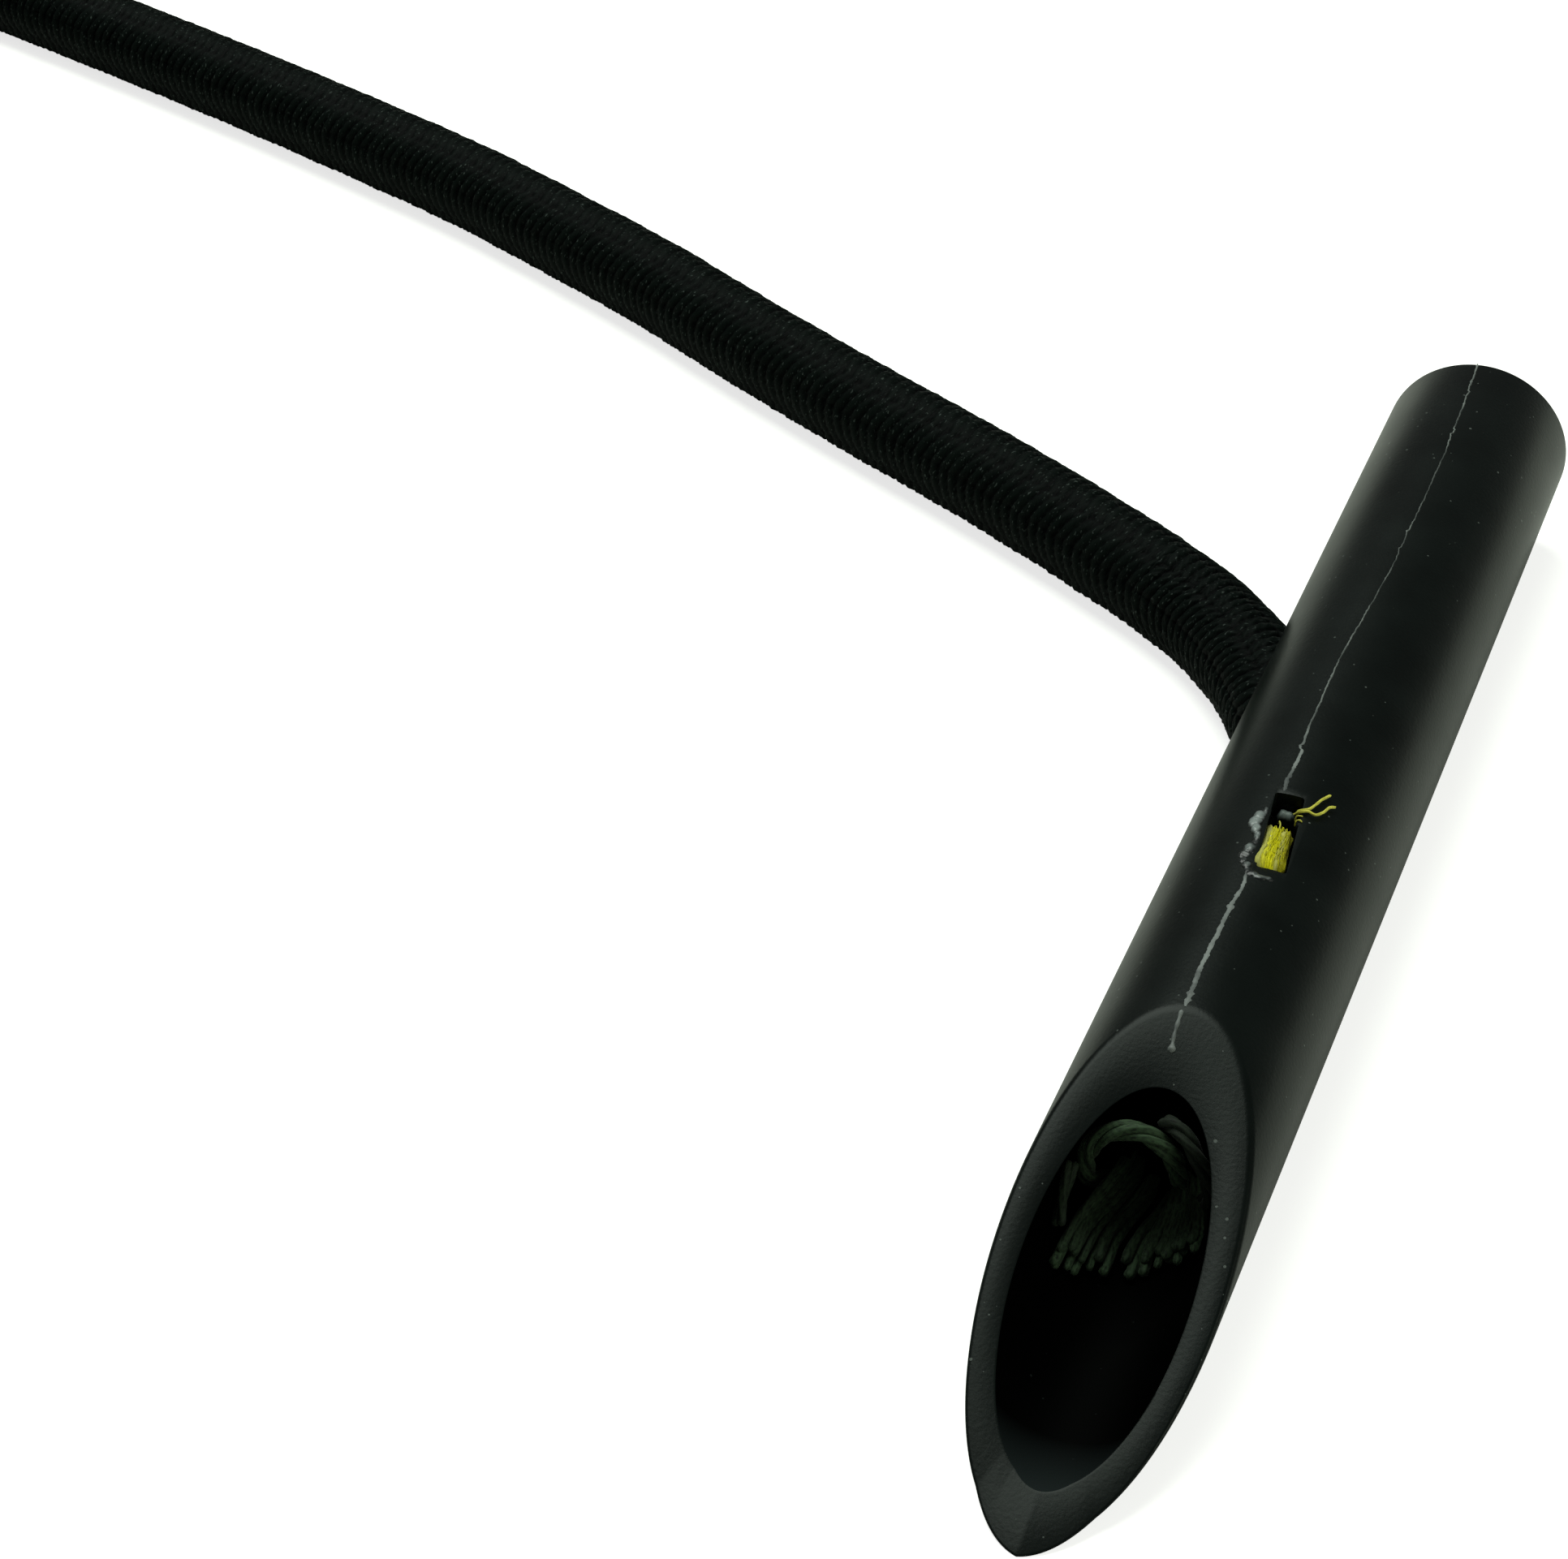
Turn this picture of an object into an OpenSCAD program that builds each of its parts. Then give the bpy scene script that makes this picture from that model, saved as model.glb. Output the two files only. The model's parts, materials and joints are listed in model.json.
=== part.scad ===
// Slant-cut tube toggle on a braided elastic cord.
// The toggle lies along X on the floor, its slanted mouth at +X and opening upwards.
// The cord enters through a slanted port low in the -Y wall and is glued in the bore.
// The origin is on the floor under the middle of the toggle. Millimetres.

/* [Toggle] */
// Length from the square end to the tip of the slanted end
toggle_length = 98; // [90:1:120]
// Outside diameter of the tube
toggle_od = 12; // [11.6:0.1:13]
// Thickness of the tube's wall
wall = 1.4; // [1.1:0.1:1.5]
// Angle between the slanted cut and the axis
cut_angle = 24; // [20:1:35]
// Rounding of the square end's outer edge
far_edge_r = 0.5; // [0.2:0.1:1]

/* [Cord port] */
// Distance from the square end to the middle of the port
port_from_far = 34; // [30:1:38]
// Diameter of the port
port_d = 7.2; // [7:0.1:7.6]
// Angle between the port and the toggle's axis
port_angle = 27; // [24:1:30]
// Height of the port's middle above the floor
port_z = 4.3; // [4.1:0.1:4.6]

/* [Window] */
// Distance from the square end to the middle of the window
window_from_far = 54.7; // [52:0.1:57]
// Length of the window
window_length = 7.3; // [6.5:0.1:9]
// Width of the window
window_width = 1.7; // [1.6:0.1:2.5]
// Turn of the window about the axis, from the top
window_turn = 4.5; // [0:0.5:12]
// Skew of the window against the axis
window_skew = 6.5; // [0:0.5:8]

/* [Cord] */
// Diameter over the braided sheath
cord_d = 6.2; // [6:0.1:6.3]
// Clearance under the cord in the bore
tail_clearance = 0.25; // [0.15:0.05:0.4]
// Diameter of the emptied sheath at its frayed end
sheath_end_d = 4.8; // [4.2:0.1:5.4]

/* [Frayed end] */
// Strands on each side of the frayed sheath
strands_a_side = 5; // [3:1:6]
// Diameter of one strand of the sheath
strand_d = 0.76; // [0.5:0.02:0.8]
// Length of the frayed strands
strand_length = 7; // [4:0.5:9]
// Diameter of one yarn of the yellow core
yarn_d = 0.36; // [0.2:0.02:0.38]
// Yarns side by side in the window
yarns_a_row = 4; // [2:1:4]
// Rows of yarn
yarn_rows = 3; // [2:1:4]
// Diameter of a loose thread
thread_d = 0.22; // [0.15:0.01:0.3]

/* [Glue] */
// Thickness of the glue collar round the cord
collar_t = 0.6; // [0.4:0.1:1.2]
// Height of a dried bead of glue on the tube
bead_h = 0.25; // [0.15:0.05:0.4]

/* [Coil] */
// Turns of spare cord
coil_turns = 3; // [2:1:5]
// Radius of the innermost turn's middle line
coil_inner_r = 27; // [27:0.5:32]
// Gap between neighbouring turns
coil_gap = 0.6; // [0.5:0.1:1.5]
// Radius of the bend from the innermost turn to the knot
inner_bend_r = 12.5; // [12.4:0.1:14]

/* [Tie] */
// Width of the strap along the cord
tie_width = 12; // [8:1:16]
// Thickness of the strap
tie_t = 0.8; // [0.6:0.1:1.2]
// Place of the strap round the coil, from where the coil starts
tie_at = 150; // [100:5:220]

/* [Knot] */
// Half the distance between crossing strands of the knot
knot_reach = 3.4; // [3.3:0.1:4]
// Length of the free end past the knot
knot_tail = 8; // [5:0.5:12]

/* [Hidden] */
$fn = 64;

cord_r = cord_d / 2;
tube_r = toggle_od / 2;
bore_r = tube_r - wall;
bore_d = 2 * bore_r;
axis_z = tube_r;
far_x = -toggle_length / 2;
tip_x = toggle_length / 2;
port_x = far_x + port_from_far;
window_x = far_x + window_from_far;
big = 4 * toggle_length;

// Height of the cord's middle line where it lies in the bore
tail_z = axis_z - bore_r + cord_r + tail_clearance;
// Place of the port's middle line at port_x: just inside the wall's middle
port_y = -4.2;
// How far the port reaches past its middle, into the bore
port_reach = 8;

// Route of the cord from its frayed end, through the port and along the floor,
// counted from the port in X. Its last point is where the coil begins.
TAIL_ROUTE = [
    [41, 0, tail_z - 0.75], [37, 0, tail_z - 0.65], [33, 0, tail_z - 0.4], [29, 0, tail_z - 0.15],
    [25, 0, tail_z], [21, 0, tail_z], [17, 0, tail_z], [13, -0.2, tail_z], [9, -0.5, tail_z]];
NECK_ROUTE = [
    [7, -0.95, 4.75], [4, -2.1, 4.6], [0, -4.15, 4.35], [-3, -5.7, 4.1], [-6, -7.5, 3.8], [-9, -9.7, 3.4],
    [-12, -12.5, 3.15], [-14, -15, cord_r]];
LEAD_ROUTE = [
    [-18, -21, cord_r], [-24, -31, cord_r], [-30, -42, cord_r], [-36, -52.5, cord_r],
    [-42, -62.5, cord_r], [-47, -72, cord_r], [-52, -82, cord_r], [-56, -91.5, cord_r],
    [-60, -101.5, cord_r], [-64, -112, cord_r], [-68, -123, cord_r], [-72, -134.5, cord_r],
    [-75.5, -145, cord_r]];
// Rings of the emptied sheath, which tapers to its frayed end
TAPER = [1, 0.8, 0.5, 0.2];

// The knot's middle line runs twice round a ring and winds three times about it
knot_ring_r = 2.6 * knot_reach;
knot_exit_y = knot_ring_r * sin(60);
knot_rings = 44;
cord_sides = 8;

// The coil lies flat, its turns running counterclockwise and inwards
coil_pitch = cord_d + coil_gap;
coil_outer_r = coil_inner_r + coil_turns * coil_pitch;
coil_start = 162;
coil_entry = [-83, -166];
coil_middle = coil_entry - coil_outer_r * [cos(coil_start), sin(coil_start)];
loop_rings = 24;
coil_sides = 6;
bend_rings = 8;
bend_sweep = 90 - asin((knot_exit_y - inner_bend_r) / (coil_inner_r - inner_bend_r));

// The strap lifts the turns off the floor where it passes under them
tie_gap = 0.35;
under_gap = 0.25;
over_gap = 0.1;
tie_lift = tie_t + under_gap;
lift_spread = 50;
tie_corner = 2.5;

function unit(v) = v / norm(v);

function tangent(points, i) =
    unit(points[min(i + 1, len(points) - 1)] - points[max(i - 1, 0)]);

function ring(middle, along, radius, sides) =
    let (side = unit(cross(along, [0, 0, 1])), rise = cross(side, along))
    [for (k = [0:sides - 1])
        let (a = (k + 0.5) * 360 / sides) middle + radius * (cos(a) * side + sin(a) * rise)];

// A closed tube through the points, from the ring at index first to the one at index last
module swept(points, radii, sides, first, last) {
    rings = [for (i = [first:last]) ring(points[i], tangent(points, i), radii[i], sides)];
    count = len(rings);
    skin = [for (i = [0:count - 2], k = [0:sides - 1])
        let (a = i * sides + k, b = i * sides + (k + 1) % sides)
        each [[a, b, b + sides], [a, b + sides, a + sides]]];
    start_cap = [for (k = [1:sides - 2]) [0, k + 1, k]];
    end_at = (count - 1) * sides;
    end_cap = [for (k = [1:sides - 2]) [end_at, end_at + k, end_at + k + 1]];
    polyhedron([for (r = rings) each r], concat(skin, start_cap, end_cap));
}

module swept_all(points, radii, sides) {
    swept(points, radii, sides, 0, len(points) - 1);
}

function repeated(value, count) = [for (i = [1:count]) value];

// Least distance between the skins of two stretches of one tube that lie apart along it
function least_gap(points, apart, diameter) =
    min([for (i = [0:len(points) - 1], j = [i + apart:len(points) - 1])
        norm(points[i] - points[j])]) - diameter;

// ---- the cord's whole route ----

CORD_ROUTE = concat(TAIL_ROUTE, NECK_ROUTE, LEAD_ROUTE);
tail_last = len(TAIL_ROUTE) - 1;
neck_last = len(TAIL_ROUTE) + len(NECK_ROUTE) - 1;
lead_last = len(CORD_ROUTE) + 1;
coil_heading = [cos(coil_start + 90), sin(coil_start + 90), 0];
coil_first = [coil_entry.x, coil_entry.y, cord_r] - cord_d * coil_heading;
// The lead runs straight into the coil's first stretch, one diameter on each side
ROUTE = concat(CORD_ROUTE, [for (k = [-1:1]) coil_first + k * cord_d * coil_heading]);
RADII = [for (i = [0:len(ROUTE) - 1])
    i < len(TAPER) ? cord_r + TAPER[i] * (sheath_end_d / 2 - cord_r) : cord_r];

// ---- the coil's middle line ----

function tie_hump(turned) =
    let (off = abs((turned - tie_at + 540) % 360 - 180))
    off < lift_spread ? tie_lift * (1 + cos(180 * off / lift_spread)) / 2 : 0;

function coil_point(turned) =
    let (r = coil_outer_r - coil_pitch * turned / 360, a = coil_start + turned)
    [coil_middle.x + r * cos(a), coil_middle.y + r * sin(a), cord_r + tie_hump(turned)];

bend_middle = coil_middle + (coil_inner_r - inner_bend_r) * [cos(coil_start), sin(coil_start)];

function bend_point(turned) =
    let (a = coil_start + turned)
    [bend_middle.x + inner_bend_r * cos(a), bend_middle.y + inner_bend_r * sin(a), cord_r];

bend_end = bend_point(bend_sweep);
knot_heading = coil_start + bend_sweep + 90;
knot_along = [cos(knot_heading), sin(knot_heading), 0];
// The coil's last stretch and the knot's first both run straight for one diameter
knot_start = bend_end + cord_d * knot_along;
knot_bend = knot_start + cord_d * knot_along;

COIL = concat(
    [coil_first],
    [for (i = [0:coil_turns * loop_rings]) coil_point(i * 360 / loop_rings)],
    [for (i = [1:bend_rings]) bend_point(i * bend_sweep / bend_rings)],
    [knot_start]);

// ---- the knot's middle line ----

function knot_curve(t) =
    let (r = knot_ring_r + knot_reach * cos(3 * t))
    [r * cos(2 * t), r * sin(2 * t), cord_r + knot_reach * (1 - sin(3 * t))];

function placed(p) =
    let (turn = knot_heading + 180, from = knot_curve(30), x = p.x - from.x, y = p.y - from.y)
    [knot_bend.x + x * cos(turn) - y * sin(turn), knot_bend.y + x * sin(turn) + y * cos(turn), p.z];

// The free end droops past the knot and its melted tip draws in
knot_end = knot_curve(330);
droop = 1;
seal = 0.8;
seal_share = 0.75;
KNOT = [
    knot_start, (knot_start + knot_bend) / 2,
    for (i = [0:knot_rings]) placed(knot_curve(30 + i * 300 / knot_rings)),
    placed(knot_end + [knot_tail / 2, 0, -0.3 * droop]),
    placed(knot_end + [knot_tail, 0, -droop]),
    placed(knot_end + [knot_tail + seal, 0, -1.2 * droop])];
KNOT_RADII = concat(repeated(cord_r, len(KNOT) - 1), [cord_r * seal_share]);

function run_length(points) =
    len(points) < 2 ? 0 : [for (i = [1:len(points) - 1]) norm(points[i] - points[i - 1])]
        * repeated(1, len(points) - 1);

// Stretches nearer than this along the knot are one bend
knot_apart = 9;
echo(least_gap_coil = least_gap(COIL, loop_rings / 2, cord_d));
echo(least_gap_knot = least_gap(KNOT, knot_apart, cord_d));
echo(cord_length = run_length(ROUTE) + run_length(COIL) + run_length(KNOT));

// ---- the toggle ----

module along_axis() {
    translate([0, 0, axis_z]) rotate([0, 90, 0]) children();
}

module tube_outside() {
    steps = 4;
    rounded = [for (i = [0:steps])
        let (a = 90 * i / steps)
        [tube_r - far_edge_r * (1 - sin(a)), far_x + far_edge_r * (1 - cos(a))]];
    along_axis() rotate_extrude() polygon(concat([[0, far_x]], rounded, [[tube_r, tip_x], [0, tip_x]]));
}

module slanted_cut() {
    translate([tip_x, 0, 0]) rotate([0, cut_angle, 0]) translate([-big, -big / 2, 0])
        cube([big + toggle_od, big, big]);
}

module port_hole() {
    translate([port_x, port_y, port_z]) rotate([0, 0, port_angle]) rotate([0, 90, 0])
        translate([0, 0, -3 * toggle_od]) cylinder(d = port_d, h = 3 * toggle_od + port_reach);
}

// Frame of the window: X along it, Z outwards from the toggle's axis
module at_window() {
    translate([window_x, 0, axis_z]) rotate([-window_turn, 0, 0]) rotate([0, 0, window_skew]) children();
}

module window_hole() {
    at_window() translate([-window_length / 2, -window_width / 2, 0])
        cube([window_length, window_width, toggle_od]);
}

module toggle_body() {
    color("#1d2426") difference() {
        tube_outside();
        along_axis() cylinder(d = bore_d, h = big, center = true);
        slanted_cut();
        port_hole();
        window_hole();
    }
}

// ---- glue ----

// The beads are thin, so that what shapes them is drawn finely
fine = 360;

// Beads beside the window and at its end: along it from its middle, across it from its middle,
// and radius on the skin
BEADS = [
    [-1.2, -window_width / 2 - 0.55, 0.75], [1.8, -window_width / 2 - 0.65, 0.9],
    [window_length / 2 + 0.4, -0.45, 0.85]];

// One dried bead on the tube's skin: a cap of a ball that sits below the skin
module skin_bead(x, y, cap_r) {
    ball_r = (cap_r * cap_r + bead_h * bead_h) / (2 * bead_h);
    at_window() translate([x, 0, 0]) rotate([-asin(y / tube_r), 0, 0])
        translate([0, 0, tube_r + bead_h - ball_r]) sphere(r = ball_r, $fn = fine / 3);
}

module glue_bead() {
    color("#9aa3a2") difference() {
        union() {
            for (bead = BEADS) skin_bead(bead.x, bead.y, bead.z);
        }
        along_axis() cylinder(r = tube_r, h = big, center = true, $fn = fine);
        window_hole();
    }
}

// The collar starts under the window's edge on the square end's side
collar_x = window_x - window_length / 2;

module glue_collar() {
    color("#3a4040") difference() {
        translate([collar_x, 0, 0]) along_axis() cylinder(d = bore_d, h = collar_t);
        translate([collar_x - collar_t, 0, tail_z]) rotate([0, 90, 0])
            cylinder(d = cord_d, h = 3 * collar_t);
        translate([collar_x - collar_t, -big / 2, -big]) cube([3 * collar_t, big, big + tail_z]);
    }
}

// ---- yellow core ----

// The top row lies this far below the tube's skin, its yarns side by side with a small gap
yarn_depth = 0.6;
yarn_gap = 0.03;
row_gap = 0.05;
// Each lower row starts further along, and every other yarn too
row_step = 0.25;
yarn_step = 0.12;
// The yarns dive under the window's edge, and on until the lowest row lies just over the cord
edge_gap = 0.24;
lie_gap = 0.1;
edge_dive = wall - yarn_depth + yarn_d / 2 + edge_gap;
full_dive = tube_r - yarn_depth - (tail_z + cord_r - axis_z) - (yarn_rows - 1) * (yarn_d + row_gap)
    - yarn_d / 2 - lie_gap;
window_end = window_length / 2;
further = full_dive - edge_dive;
// A yarn's middle line: place along the window and depth below where it starts
YARN_PATH = [
    [-1.2, 0], [0.6, 0], [window_end - 1.05, 0.1], [window_end - 0.45, 0.55 * edge_dive],
    [window_end, edge_dive], [window_end + 1, edge_dive + 0.3 * further],
    [window_end + 2.7, edge_dive + 0.7 * further], [window_end + 4.3, full_dive]];

module yarn(across, row) {
    height = tube_r - yarn_depth - row * (yarn_d + row_gap);
    shift = row_step * row + yarn_step * (across % 2);
    side = (across - (yarns_a_row - 1) / 2) * (yarn_d + yarn_gap);
    points = [for (p = YARN_PATH)
        [p.x + (p.x < 0 ? shift : 0), side, height - p.y]];
    at_window() swept_all(points, repeated(yarn_d / 2, len(points)), 6);
}

module core_yarns() {
    color("#c9c030") for (row = [0:yarn_rows - 1], across = [0:yarns_a_row - 1]) yarn(across, row);
}

// Two threads that curl out of the window over the tube's skin.
// Each point is along the tube from the window, round it and above its skin.
LOOSE = [
    [[-1.5, -0.05, -0.95], [-1.8, 0.2, -0.35], [-2.1, 0.55, 0.32], [-2.5, 0.85, 0.4], [-3.1, 1.2, 0.4],
        [-4.2, 1.6, 0.3]],
    [[-1.3, 0.1, -0.95], [-1.6, 0.3, -0.3], [-1.9, 0.72, 0.35], [-2, 1.15, 0.4], [-2.5, 1.55, 0.4],
        [-3.6, 2.05, 0.3]]];

module loose_threads() {
    color("#d8cf3a") for (thread = LOOSE) {
        points = [for (p = thread)
            let (a = window_turn + p.y / tube_r * 180 / PI, r = tube_r + p.z)
            [window_x + p.x, r * sin(a), axis_z + r * cos(a)]];
        swept_all(points, repeated(thread_d / 2, len(points)), 6);
    }
}

// ---- frayed sheath ----

sheath_x = port_x + TAIL_ROUTE[0].x;
sheath_z = TAIL_ROUTE[0].z;
strand_steps = 6;
// Angles from straight down over which the strands spread at the mouth and on the bore's floor
mouth_fan = 115;
floor_fan = [6, 64];
// Gap between a strand's end and the bore, and how much shorter the strands between are
strand_gap = 0.1;
uneven_length = 0.9;
// A strand is thinner where it leaves the braid
strand_root = 0.8;
mouth_gap = 0.05;

// One strand fans out from the sheath's mouth and comes to lie along the bore's floor
module strand(hand, place) {
    out = (place + 0.5) / strands_a_side;
    from_a = hand * mouth_fan * out;
    to_a = hand * (floor_fan[0] + (floor_fan[1] - floor_fan[0]) * out);
    from_r = sheath_end_d / 2 - strand_d / 2;
    to_r = bore_r - strand_d / 2 - strand_gap;
    length = strand_length - uneven_length * abs(sin(200 * out));
    points = [for (i = [0:strand_steps])
        let (s = i / strand_steps, ease = s * s * (3 - 2 * s),
            y = (1 - ease) * from_r * sin(from_a) + ease * to_r * sin(to_a),
            z = (1 - ease) * (sheath_z - from_r * cos(from_a)) + ease * (axis_z - to_r * cos(to_a)))
        [sheath_x + mouth_gap + s * length, y, z]];
    radii = [for (i = [0:strand_steps])
        strand_d / 2 * (strand_root + (1 - strand_root) * i / strand_steps)];
    swept_all(points, radii, 6);
}

module sheath_strands() {
    color("#2b3a2a") for (hand = [-1, 1], place = [0:strands_a_side - 1]) strand(hand, place);
}

// ---- cord ----

module cord_colour() {
    color("#141819") translate([port_x, 0, 0]) children();
}

module cord_tail() {
    cord_colour() swept(ROUTE, RADII, 12, 0, tail_last);
}

module cord_neck() {
    cord_colour() swept(ROUTE, RADII, 12, tail_last, neck_last);
}

module cord_lead() {
    cord_colour() swept(ROUTE, RADII, 12, neck_last, lead_last);
}

module cord_coil() {
    cord_colour() swept_all(COIL, repeated(cord_r, len(COIL)), coil_sides);
}

module stopper_knot() {
    cord_colour() swept_all(KNOT, KNOT_RADII, cord_sides);
}

// ---- tie ----

module rounded_box(low, high, corner) {
    for (x = [low.x + corner, high.x - corner], y = [low.y + corner, high.y - corner])
        translate([x, y]) circle(r = corner);
    translate([low.x + corner, low.y]) square([high.x - low.x - 2 * corner, high.y - low.y]);
    translate([low.x, low.y + corner]) square([high.x - low.x, high.y - low.y - 2 * corner]);
}

tie_outer_r = coil_outer_r - coil_pitch * tie_at / 360;
tie_inner_r = tie_outer_r - (coil_turns - 1) * coil_pitch;
tie_low = sqrt(tie_inner_r * tie_inner_r - tie_width * tie_width / 4) - cord_r - tie_gap;
tie_high = tie_outer_r + cord_r + tie_gap;
tie_top = tie_lift + cord_d + over_gap;

module coil_tie() {
    color("#23282a") translate([port_x + coil_middle.x, coil_middle.y, 0])
        rotate([0, 0, coil_start + tie_at]) rotate([90, 0, 0])
            linear_extrude(height = tie_width, center = true) difference() {
                rounded_box([tie_low - tie_t, 0], [tie_high + tie_t, tie_top + tie_t], tie_corner);
                rounded_box([tie_low, tie_t], [tie_high, tie_top], tie_corner - tie_t);
            }
}

toggle_body();
glue_bead();
glue_collar();
core_yarns();
loose_threads();
sheath_strands();
cord_tail();
cord_neck();
cord_lead();
cord_coil();
coil_tie();
stopper_knot();
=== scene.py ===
"""Looks, camera and light of a slant-cut tube toggle on a braided elastic cord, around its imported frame.

Sizes are in millimetres in the frame's own axes: X along the toggle, Z up, the floor at zero.
A finished mesh is brought to metres by dress().
"""

import json
import logging
import math
import random
from dataclasses import dataclass, field
from enum import Enum
from typing import Callable, Mapping, Sequence

import bmesh
import bpy
import numpy as np
from mathutils import Matrix, Vector, noise

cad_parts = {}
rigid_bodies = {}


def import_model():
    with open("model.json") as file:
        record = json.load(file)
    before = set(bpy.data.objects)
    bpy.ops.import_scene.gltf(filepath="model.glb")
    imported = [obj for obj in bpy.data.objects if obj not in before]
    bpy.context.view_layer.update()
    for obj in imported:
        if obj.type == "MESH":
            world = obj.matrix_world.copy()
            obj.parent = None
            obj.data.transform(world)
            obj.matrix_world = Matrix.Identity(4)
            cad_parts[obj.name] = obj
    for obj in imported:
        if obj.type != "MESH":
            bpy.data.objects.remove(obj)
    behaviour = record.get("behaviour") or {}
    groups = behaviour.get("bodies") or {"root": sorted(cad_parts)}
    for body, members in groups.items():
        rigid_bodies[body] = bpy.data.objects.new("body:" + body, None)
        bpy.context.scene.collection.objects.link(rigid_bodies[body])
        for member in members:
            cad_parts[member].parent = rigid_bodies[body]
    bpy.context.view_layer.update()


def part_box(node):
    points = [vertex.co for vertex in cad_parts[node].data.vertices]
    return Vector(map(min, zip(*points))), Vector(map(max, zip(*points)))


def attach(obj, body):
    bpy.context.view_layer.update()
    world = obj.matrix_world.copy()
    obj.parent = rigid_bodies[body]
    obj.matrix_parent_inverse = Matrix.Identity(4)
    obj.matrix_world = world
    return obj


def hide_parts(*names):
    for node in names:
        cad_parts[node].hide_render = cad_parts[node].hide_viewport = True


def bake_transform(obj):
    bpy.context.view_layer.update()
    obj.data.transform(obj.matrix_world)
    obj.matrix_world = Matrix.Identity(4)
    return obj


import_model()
MM = 0.001
WHITE = (1.0, 1.0, 1.0, 1.0)
GLUE_SEED = 5  # of the fine unevenness of the dried glue
LOG = logging.getLogger("toggle")

Point = Sequence[float]
Socket = bpy.types.NodeSocket
Material = bpy.types.Material
Object = bpy.types.Object
Along = Callable[[np.ndarray], np.ndarray]  # gives a value at each place along a line


class Body(Enum):
    """The two bodies of the frame that pieces ride on."""

    TOGGLE = "toggle"
    CORD = "cord"


class Slot(Enum):
    """Material slots of the record."""

    PLASTIC = "toggle_plastic"
    BEAD = "dried_glue"
    COLLAR = "dark_glue"
    CORE = "yellow_core"
    FRAY = "frayed_sheath"
    BRAID = "black_braid"
    STRAP = "tie_strap"


# ---- modelling helpers ----


def smooth_step(x: np.ndarray) -> np.ndarray:
    """Eases x from 0 to 1, flat at both ends."""
    x = np.clip(x, 0.0, 1.0)
    return x * x * (3.0 - 2.0 * x)


def linear(colour: str) -> tuple[float, float, float, float]:
    """Turns an sRGB hex colour into the linear colour that a shader takes.

    Args:
        colour: Six hex digits after a hash.

    Returns:
        Red, green, blue and an alpha of 1.
    """
    parts = [int(colour[i : i + 2], 16) / 255 for i in (1, 3, 5)]
    red, green, blue = (c / 12.92 if c <= 0.04045 else ((c + 0.055) / 1.055) ** 2.4 for c in parts)
    return red, green, blue, 1.0


def deselect() -> None:
    """Leaves edit mode and deselects every object, so that an operator acts on its own piece alone."""
    if bpy.context.object is not None and bpy.context.object.mode != "OBJECT":
        bpy.ops.object.mode_set(mode="OBJECT")
    for item in bpy.context.view_layer.objects:
        item.select_set(False)


def take(piece: Object) -> None:
    """Makes the piece the only selected object, and the active one."""
    deselect()
    piece.select_set(True)
    bpy.context.view_layer.objects.active = piece


def primitive(add: Callable[..., object], scale: Point = (1, 1, 1), **settings: object) -> Object:
    """Adds a primitive with nothing else selected, and puts its place, turn and scale into its mesh.

    Args:
        add: The operator that adds it.
        scale: What its own size is multiplied by.
        settings: The operator's settings, such as its place and size.

    Returns:
        The new object.
    """
    deselect()
    add(**settings)
    piece = bpy.context.object
    piece.scale = scale
    bpy.ops.object.transform_apply(location=True, rotation=True, scale=True)
    return piece


def pick(piece: Object, kind: str, test: Callable[[object], bool]) -> None:
    """Selects the parts of a mesh in edit mode that pass a test.

    Args:
        piece: The object in edit mode.
        kind: VERT or EDGE.
        test: Is given each bmesh element, and says whether to select it.
    """
    bpy.ops.mesh.select_mode(type=kind)
    bpy.ops.mesh.select_all(action="DESELECT")
    mesh = bmesh.from_edit_mesh(piece.data)
    for element in {"VERT": mesh.verts, "EDGE": mesh.edges}[kind]:
        if test(element):
            element.select_set(True)
    mesh.select_flush_mode()
    bmesh.update_edit_mesh(piece.data)


def bisect(point: Point, normal: Point, **settings: object) -> None:
    """Cuts all of the mesh in edit mode by the plane through the point, square to the normal."""
    bpy.ops.mesh.select_all(action="SELECT")
    bpy.ops.mesh.bisect(plane_co=point, plane_no=normal, **settings)


def middle(element: object) -> Vector:
    """Returns the middle of a bmesh edge."""
    points = [v.co for v in element.verts]
    return sum(points, Vector()) / len(points)


def apply_modifier(piece: Object, kind: str, **settings: object) -> None:
    """Adds a modifier to the piece, sets it and applies it.

    Args:
        piece: The object it shapes.
        kind: The modifier's type.
        settings: Its attributes.
    """
    take(piece)
    bpy.ops.object.modifier_add(type=kind)
    modifier = piece.modifiers[-1]
    for name, value in settings.items():
        setattr(modifier, name, value)
    bpy.ops.object.modifier_apply(modifier=modifier.name)


def cut_with(piece: Object, cutter: Object) -> None:
    """Takes the cutter's volume out of the piece, and deletes the cutter."""
    apply_modifier(piece, "BOOLEAN", operation="DIFFERENCE", solver="EXACT", object=cutter)
    bpy.data.objects.remove(cutter)


def face_outwards(piece: Object, merge: float = 1e-4) -> None:
    """Merges doubled points and turns the faces of a closed piece outwards.

    Args:
        piece: The object.
        merge: Points nearer than this are one, in the piece's own units.
    """
    take(piece)
    bpy.ops.object.mode_set(mode="EDIT")
    bpy.ops.mesh.select_all(action="SELECT")
    bpy.ops.mesh.remove_doubles(threshold=merge)
    bpy.ops.mesh.normals_make_consistent(inside=False)
    bpy.ops.object.mode_set(mode="OBJECT")


def soften(piece: Object, degrees: float = 35.0) -> None:
    """Shades the piece smooth, apart from edges sharper than the angle."""
    take(piece)
    bpy.ops.object.shade_smooth_by_angle(angle=math.radians(degrees))


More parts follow.
